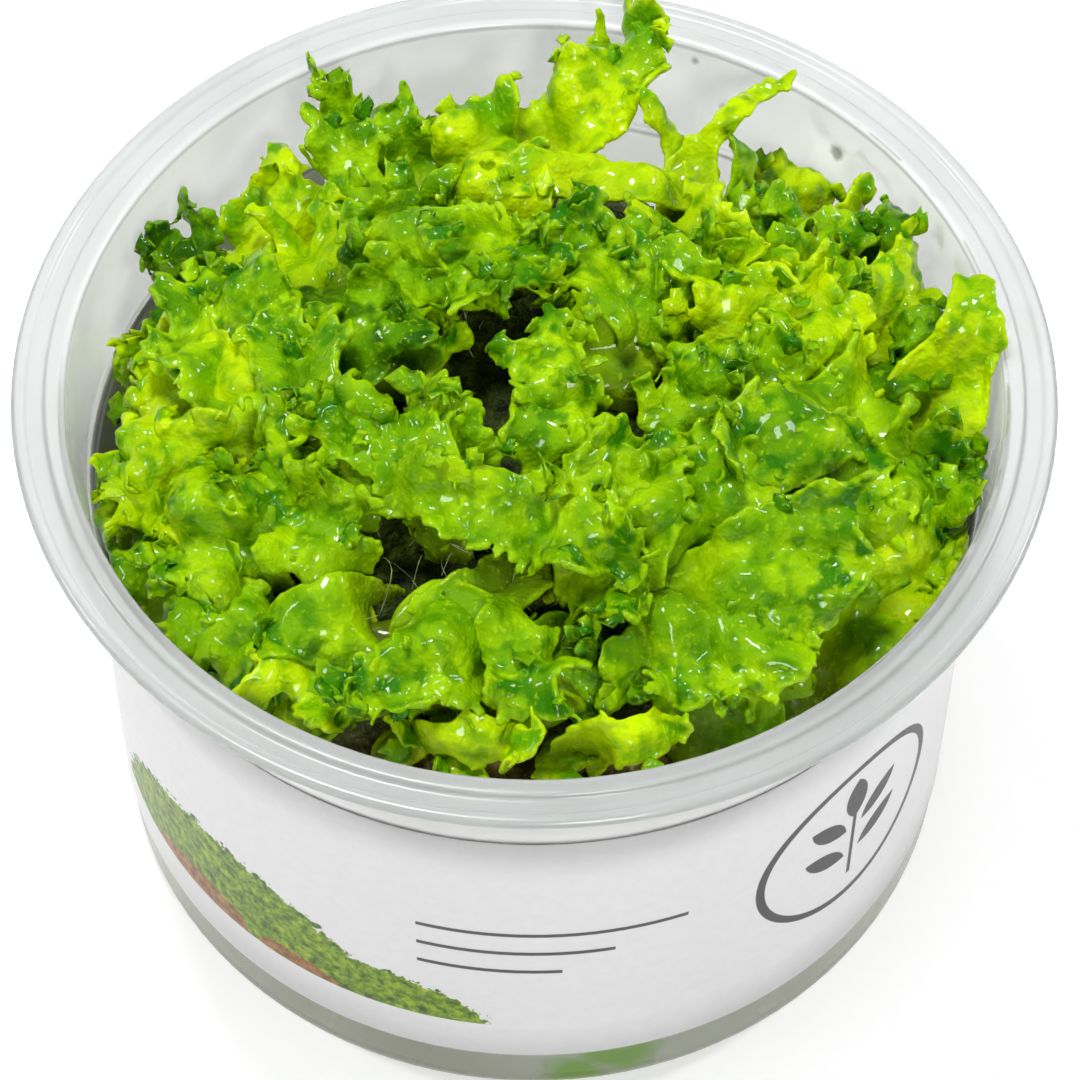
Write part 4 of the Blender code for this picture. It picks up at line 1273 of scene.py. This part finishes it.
def lobules(name, chance, bases, outs, ups, sizes):
    """Curly lobules in one mesh, each on its base, reaching out and curling up."""
    rng = np.random.default_rng(chance.randrange(10**6))
    count = len(bases)
    outs = unit(outs)
    ups = unit(ups - outs * np.sum(ups * outs, axis=1)[:, None])
    lean = rng.uniform(0.1, 1.1, (count, 1))
    outs, ups = outs * np.cos(lean) + ups * np.sin(lean), ups * np.cos(lean) - outs * np.sin(lean)
    sides = np.cross(ups, outs)
    x, y, z = (LOBULE_POINTS[None, :, k] for k in range(3))
    curl = rng.uniform(-0.3, 0.8, (count, 1))
    cup = rng.uniform(-0.4, 1.6, (count, 1))
    wide = rng.uniform(0.8, 1.4, (count, 1))
    twist = rng.uniform(-0.8, 0.8, (count, 1)) * x
    across = y * wide
    phase = rng.uniform(0, math.tau, (count, 1))
    frills = 0.13 * x * np.sin(9 * across + phase) + 0.08 * np.sin(11 * x + 2 * phase) * np.abs(across)
    lift = z + curl * x * x + cup * across * across + frills
    turn_cos, turn_sin = np.cos(twist), np.sin(twist)
    across, lift = across * turn_cos - lift * turn_sin, across * turn_sin + lift * turn_cos
    points = bases[:, None, :]
    for share, way in ((x, outs), (across, sides), (lift, ups)):
        points = points + (share * sizes[:, None])[..., None] * way[:, None, :]
    points = inside_cup(points.reshape(-1, 3), LOBULE_CLEARANCE)
    points[:, 2] = np.minimum(points[:, 2], LOBULE_CEILING)
    step = len(LOBULE_POINTS)
    faces = [[number * step + corner for corner in face] for number in range(count) for face in LOBULE_FACES]
    mesh = bpy.data.meshes.new(name)
    mesh.from_pydata(points * MM, [], faces)
    growth = mesh.uv_layers.new(name="growth")
    tint = np.repeat(rng.uniform(0.55, 1.15, count), step)
    rim = np.maximum(LOBULE_POINTS[:, 0], np.abs(LOBULE_POINTS[:, 1]) / LOBULE_HALF.max())
    tip = np.tile(np.clip(rim, 0, 1) ** 2, count)
    corners = np.array(faces_of(mesh))
    growth.data.foreach_set("uv", np.stack((tip, tint), axis=1)[corners].ravel())
    made = bpy.data.objects.new(name, mesh)
    bpy.context.scene.collection.objects.link(made)
    mesh.shade_smooth()
    return made


def sheet_grid(chance, axis, width, frill, bars):
    """The flat sheet's points, how far inside the outline each lies, and the half width."""
    full = WIDTH_SHARE * width / 2
    if bars:
        reach = np.array([(bar[k] - bar[4], bar[k] + bar[4]) for bar in bars for k in (0, 2)])
        top = max(bar[k] + bar[4] for bar in bars for k in (1, 3))
        across = np.arange(min(reach.min(), -width) - 1, max(reach.max(), width) + 1, GRID_STEP)
        u, v = np.meshgrid(across, np.arange(0, top + 1, GRID_STEP))
        return u, v, drawn_field(chance, bars, width, frill, u, v), max(full, 0.7 * np.abs(reach).max())
    across = np.arange(-full * 1.5 - 2, full * 1.5 + 2, GRID_STEP)
    u, v = np.meshgrid(across, np.arange(0, axis.length * 1.12 + 3, GRID_STEP))
    return u, v, outline_field(chance, axis, width, frill, u, v), full


def ruffled(chance, us, vs, edge, tips, full, width, frill):
    """The sheet's channel, ruffles, swells and ribs as a lift off it, and its points swayed along it."""
    ruffle_big, ruffle_small = waves(chance, 6.5), waves(chance, 3.0)
    t = np.clip(us / full, -1.3, 1.3)
    lift = CHANNEL * width * t * t
    lift = lift + (0.5 + 1.1 * frill) * edge * tips * ruffle_big(us, vs)
    lift = lift + (0.1 + 0.6 * frill) * edge ** 2 * tips * ruffle_small(us, vs)
    lift = lift + (0.9 + 0.5 * frill) * waves(chance, 9.0)(us, vs)
    ribs = np.sin(math.tau * us / chance.uniform(2.6, 4.0) + 1.4 * waves(chance, 6.0)(us, vs))
    lift = lift + 0.28 * (0.3 + edge) * tips * ribs
    sway_u, sway_v = waves(chance, 4.0), waves(chance, 4.0)
    us = us + 0.5 * frill * edge * tips * sway_u(us, vs)
    vs = vs + 0.5 * frill * edge * tips * sway_v(us, vs)
    return us, vs, lift


def mark_sheet(chance, piece, us, vs, edge, along, tips):
    """Where the sheet is thin and where it is grainy, and what its material reads: margin and growth."""
    growth = piece.data.uv_layers.new(name="growth")
    coat = np.stack((edge, np.clip(along, 0, 1.2)), axis=1)
    growth.data.foreach_set("uv", coat[faces_of(piece.data)].ravel())
    thin = piece.vertex_groups.new(name="thin")
    grainy = piece.vertex_groups.new(name="grainy")
    patch = np.clip(0.35 + waves(chance, 7.0)(us, vs), 0, 1)
    rough = np.clip((0.15 + 0.6 * patch + 0.5 * edge) * tips, 0, 1)
    for index, (near, far) in enumerate(zip(edge, rough)):
        thin.add((index,), 1 - 0.72 * float(near) ** 1.5, "REPLACE")
        grainy.add((index,), float(far), "REPLACE")


def cut_to_outline(piece, cells):
    bm = bmesh.new()
    bm.from_mesh(piece.data)
    bm.faces.ensure_lookup_table()
    gone = [bm.faces[k] for k in np.nonzero(~cells.ravel())[0]]
    bmesh.ops.delete(bm, geom=gone, context="FACES")
    keep_largest(bm)
    bmesh.ops.remove_doubles(bm, verts=bm.verts, dist=0.08 * MM)
    bm.to_mesh(piece.data)
    bm.free()


def thicken(piece, frill):
    """Makes the sheet a fleshy solid, thin at its margin, with lumps, cells and grain."""
    shape_with(piece, "SOLIDIFY", thickness=SHEET_THICKNESS * MM, offset=0, vertex_group="thin",
               thickness_vertex_group=0.05)
    shape_with(piece, "SUBSURF", levels=1, render_levels=1)
    shape_with(piece, "DISPLACE", texture=LUMPS, texture_coords="LOCAL", strength=(0.35 + 0.35 * frill) * MM)
    shape_with(piece, "DISPLACE", texture=CELLS, texture_coords="LOCAL", vertex_group="grainy",
               strength=-(0.1 + 0.55 * frill) * MM)
    shape_with(piece, "DISPLACE", texture=GRAIN, texture_coords="LOCAL", vertex_group="grainy",
               strength=(0.12 + 0.3 * frill) * MM)
    piece.vertex_groups.clear()
    piece.data.shade_smooth()


def join_to(piece, other):
    start_fresh()
    other.select_set(True)
    piece.select_set(True)
    bpy.context.view_layer.objects.active = piece
    bpy.ops.object.join()


def ribbon(name, chance, rise, tip, width, frill, bars=None):
    """A flat grid cut to its outline, bent to its axis, ruffled, thickened and rounded, with its lobules."""
    axis = Axis(rise, tip)
    u, v, field, full = sheet_grid(chance, axis, width, frill, bars)
    slope_v, slope_u = np.gradient(field)
    us, vs, inner, cells = snapped_sheet(field, u, v)

    rows, columns = field.shape
    start_fresh()
    bpy.ops.mesh.primitive_grid_add(x_subdivisions=columns - 1, y_subdivisions=rows - 1, size=MM)
    piece = bpy.context.object
    piece.name = name
    us, vs, inner = us.ravel(), vs.ravel(), inner.ravel()
    edge = np.clip(1 - inner / MARGIN, 0, 1)
    along = vs / axis.length
    tips = np.clip((along - 0.25) / 0.6, 0.15, 1)
    us, vs, lift = ruffled(chance, us, vs, edge, tips, full, width, frill)
    points = axis.place(us, vs, lift)
    bent = TALL + TALL_ROOM * np.tanh((points[:, 2] - TALL) / TALL_ROOM)
    points[:, 2] = np.where(points[:, 2] > TALL, bent, points[:, 2])
    points = inside_cup(points, CLEARANCE)
    piece.data.vertices.foreach_set("co", (points * MM).ravel())
    mark_sheet(chance, piece, us, vs, edge, along, tips)
    cut_to_outline(piece, cells)
    thicken(piece, frill)

    # Curly lobules stand along the margin and in patches towards the tip
    inside = field.ravel() > 0.15
    clump = np.clip(waves(chance, 5.0)(us, vs) * 1.6 - 0.3, 0, 1)
    weight = np.where(inside, (0.15 + edge) * tips * clump + 1e-6, 0)
    count = int(np.count_nonzero(inside) * GRID_STEP ** 2 * frill ** 1.5 * LOBULE_SHARE)
    rng = np.random.default_rng(chance.randrange(10**6))
    if weight.sum() <= 0 or count < 1:
        return piece
    picks = rng.choice(len(weight), size=count, p=weight / weight.sum())
    side = axis.read(axis.side, vs[picks])
    ahead = axis.read(axis.along, vs[picks])
    face = axis.read(axis.normal, vs[picks])
    out = -side * slope_u.ravel()[picks][:, None] - ahead * slope_v.ravel()[picks][:, None]
    out = unit(out) * edge[picks][:, None] + 0.5 * ahead + 0.45 * rng.normal(size=(count, 3))
    top = rng.random(count)[:, None] < 0.85
    face = np.where(top, face, -face)
    bases = points[picks] + face * 0.25 - unit(out) * 0.3
    sizes = rng.uniform(1.1, 2.8, count) * (0.75 + 0.3 * frill)
    join_to(piece, lobules(name + "_lobules", chance, bases, out, face, sizes))
    return piece


def make_thallus(number, name, rise, tip, width, frill, finish):
    chance = random.Random(THALLUS_SEED + number)
    piece = ribbon("thallus_" + name + "_fine", chance, rise, tip, width, frill, BARS.get(name))
    for parent, *shoot in SHOOTS:
        if parent == name:
            join_to(piece, ribbon("shoot", chance, *shoot))
    settle(piece, finish, "thallus_green", "thallus_" + name)


# Studio

def make_studio():
    start_fresh()
    bpy.ops.mesh.primitive_plane_add(size=6.0, location=(0, 0, -0.0002))
    floor = bpy.context.object
    floor.name = "studio_floor"
    floor.data.materials.append(floor_material())

    world = bpy.data.worlds.new("studio")
    world.use_nodes = True
    world.node_tree.nodes["Background"].inputs["Color"].default_value = (1, 1, 1, 1)
    world.node_tree.nodes["Background"].inputs["Strength"].default_value = 0.1
    bpy.context.scene.world = world

    for name, place, size, power in (
        ("key_light", (-0.2, 0.22, 1.25), 0.22, 10.5),
        ("front_light", (0.25, -1.05, 0.9), 0.3, 8.0),
        ("right_light", (0.95, 0.35, 0.7), 0.2, 4.5),
        ("left_light", (-1.0, 0.1, 0.8), 0.2, 4.5),
    ):
        lamp = bpy.data.lights.new(name, "AREA")
        lamp.size = size
        lamp.energy = power
        light = bpy.data.objects.new(name, lamp)
        bpy.context.scene.collection.objects.link(light)
        light.location = place
        light.rotation_euler = (Vector((0, 0, 0.04)) - Vector(place)).to_track_quat("-Z", "Y").to_euler()


def make_camera():
    lens = bpy.data.cameras.new("camera")
    lens.sensor_width = SENSOR
    lens.lens = FOCAL_PIXELS / PHOTO_PIXELS * SENSOR
    lens.clip_start, lens.clip_end = 0.01, 20
    camera = bpy.data.objects.new("camera", lens)
    bpy.context.scene.collection.objects.link(camera)
    tilt = math.radians(CAMERA_ELEVATION)
    back = Vector((0, -math.cos(tilt), math.sin(tilt)))
    right = Vector((1, 0, 0))
    up = back.cross(right)
    roll = math.radians(CAMERA_ROLL)
    right, up = right * math.cos(roll) + up * math.sin(roll), up * math.cos(roll) - right * math.sin(roll)
    turn = Matrix((right, up, back)).transposed().to_4x4()
    camera.matrix_world = Matrix.Translation((AIM + back * CAMERA_DISTANCE) * MM) @ turn
    bpy.context.scene.camera = camera


bpy.context.scene.view_settings.view_transform = "Standard"
make_camera()
make_studio()
make_cup(cup_material())
make_label(label_material())
make_gel(gel_material())
make_mat(mat_material())
make_threads(thread_material())
FLESH = {name: flesh_material(name) for name in FLESH_COLOURS}
for number, (name, rise, tip, width, finish, frill) in enumerate(THALLI):
    make_thallus(number, name, rise, tip, width, frill, FLESH[finish])

start_fresh()
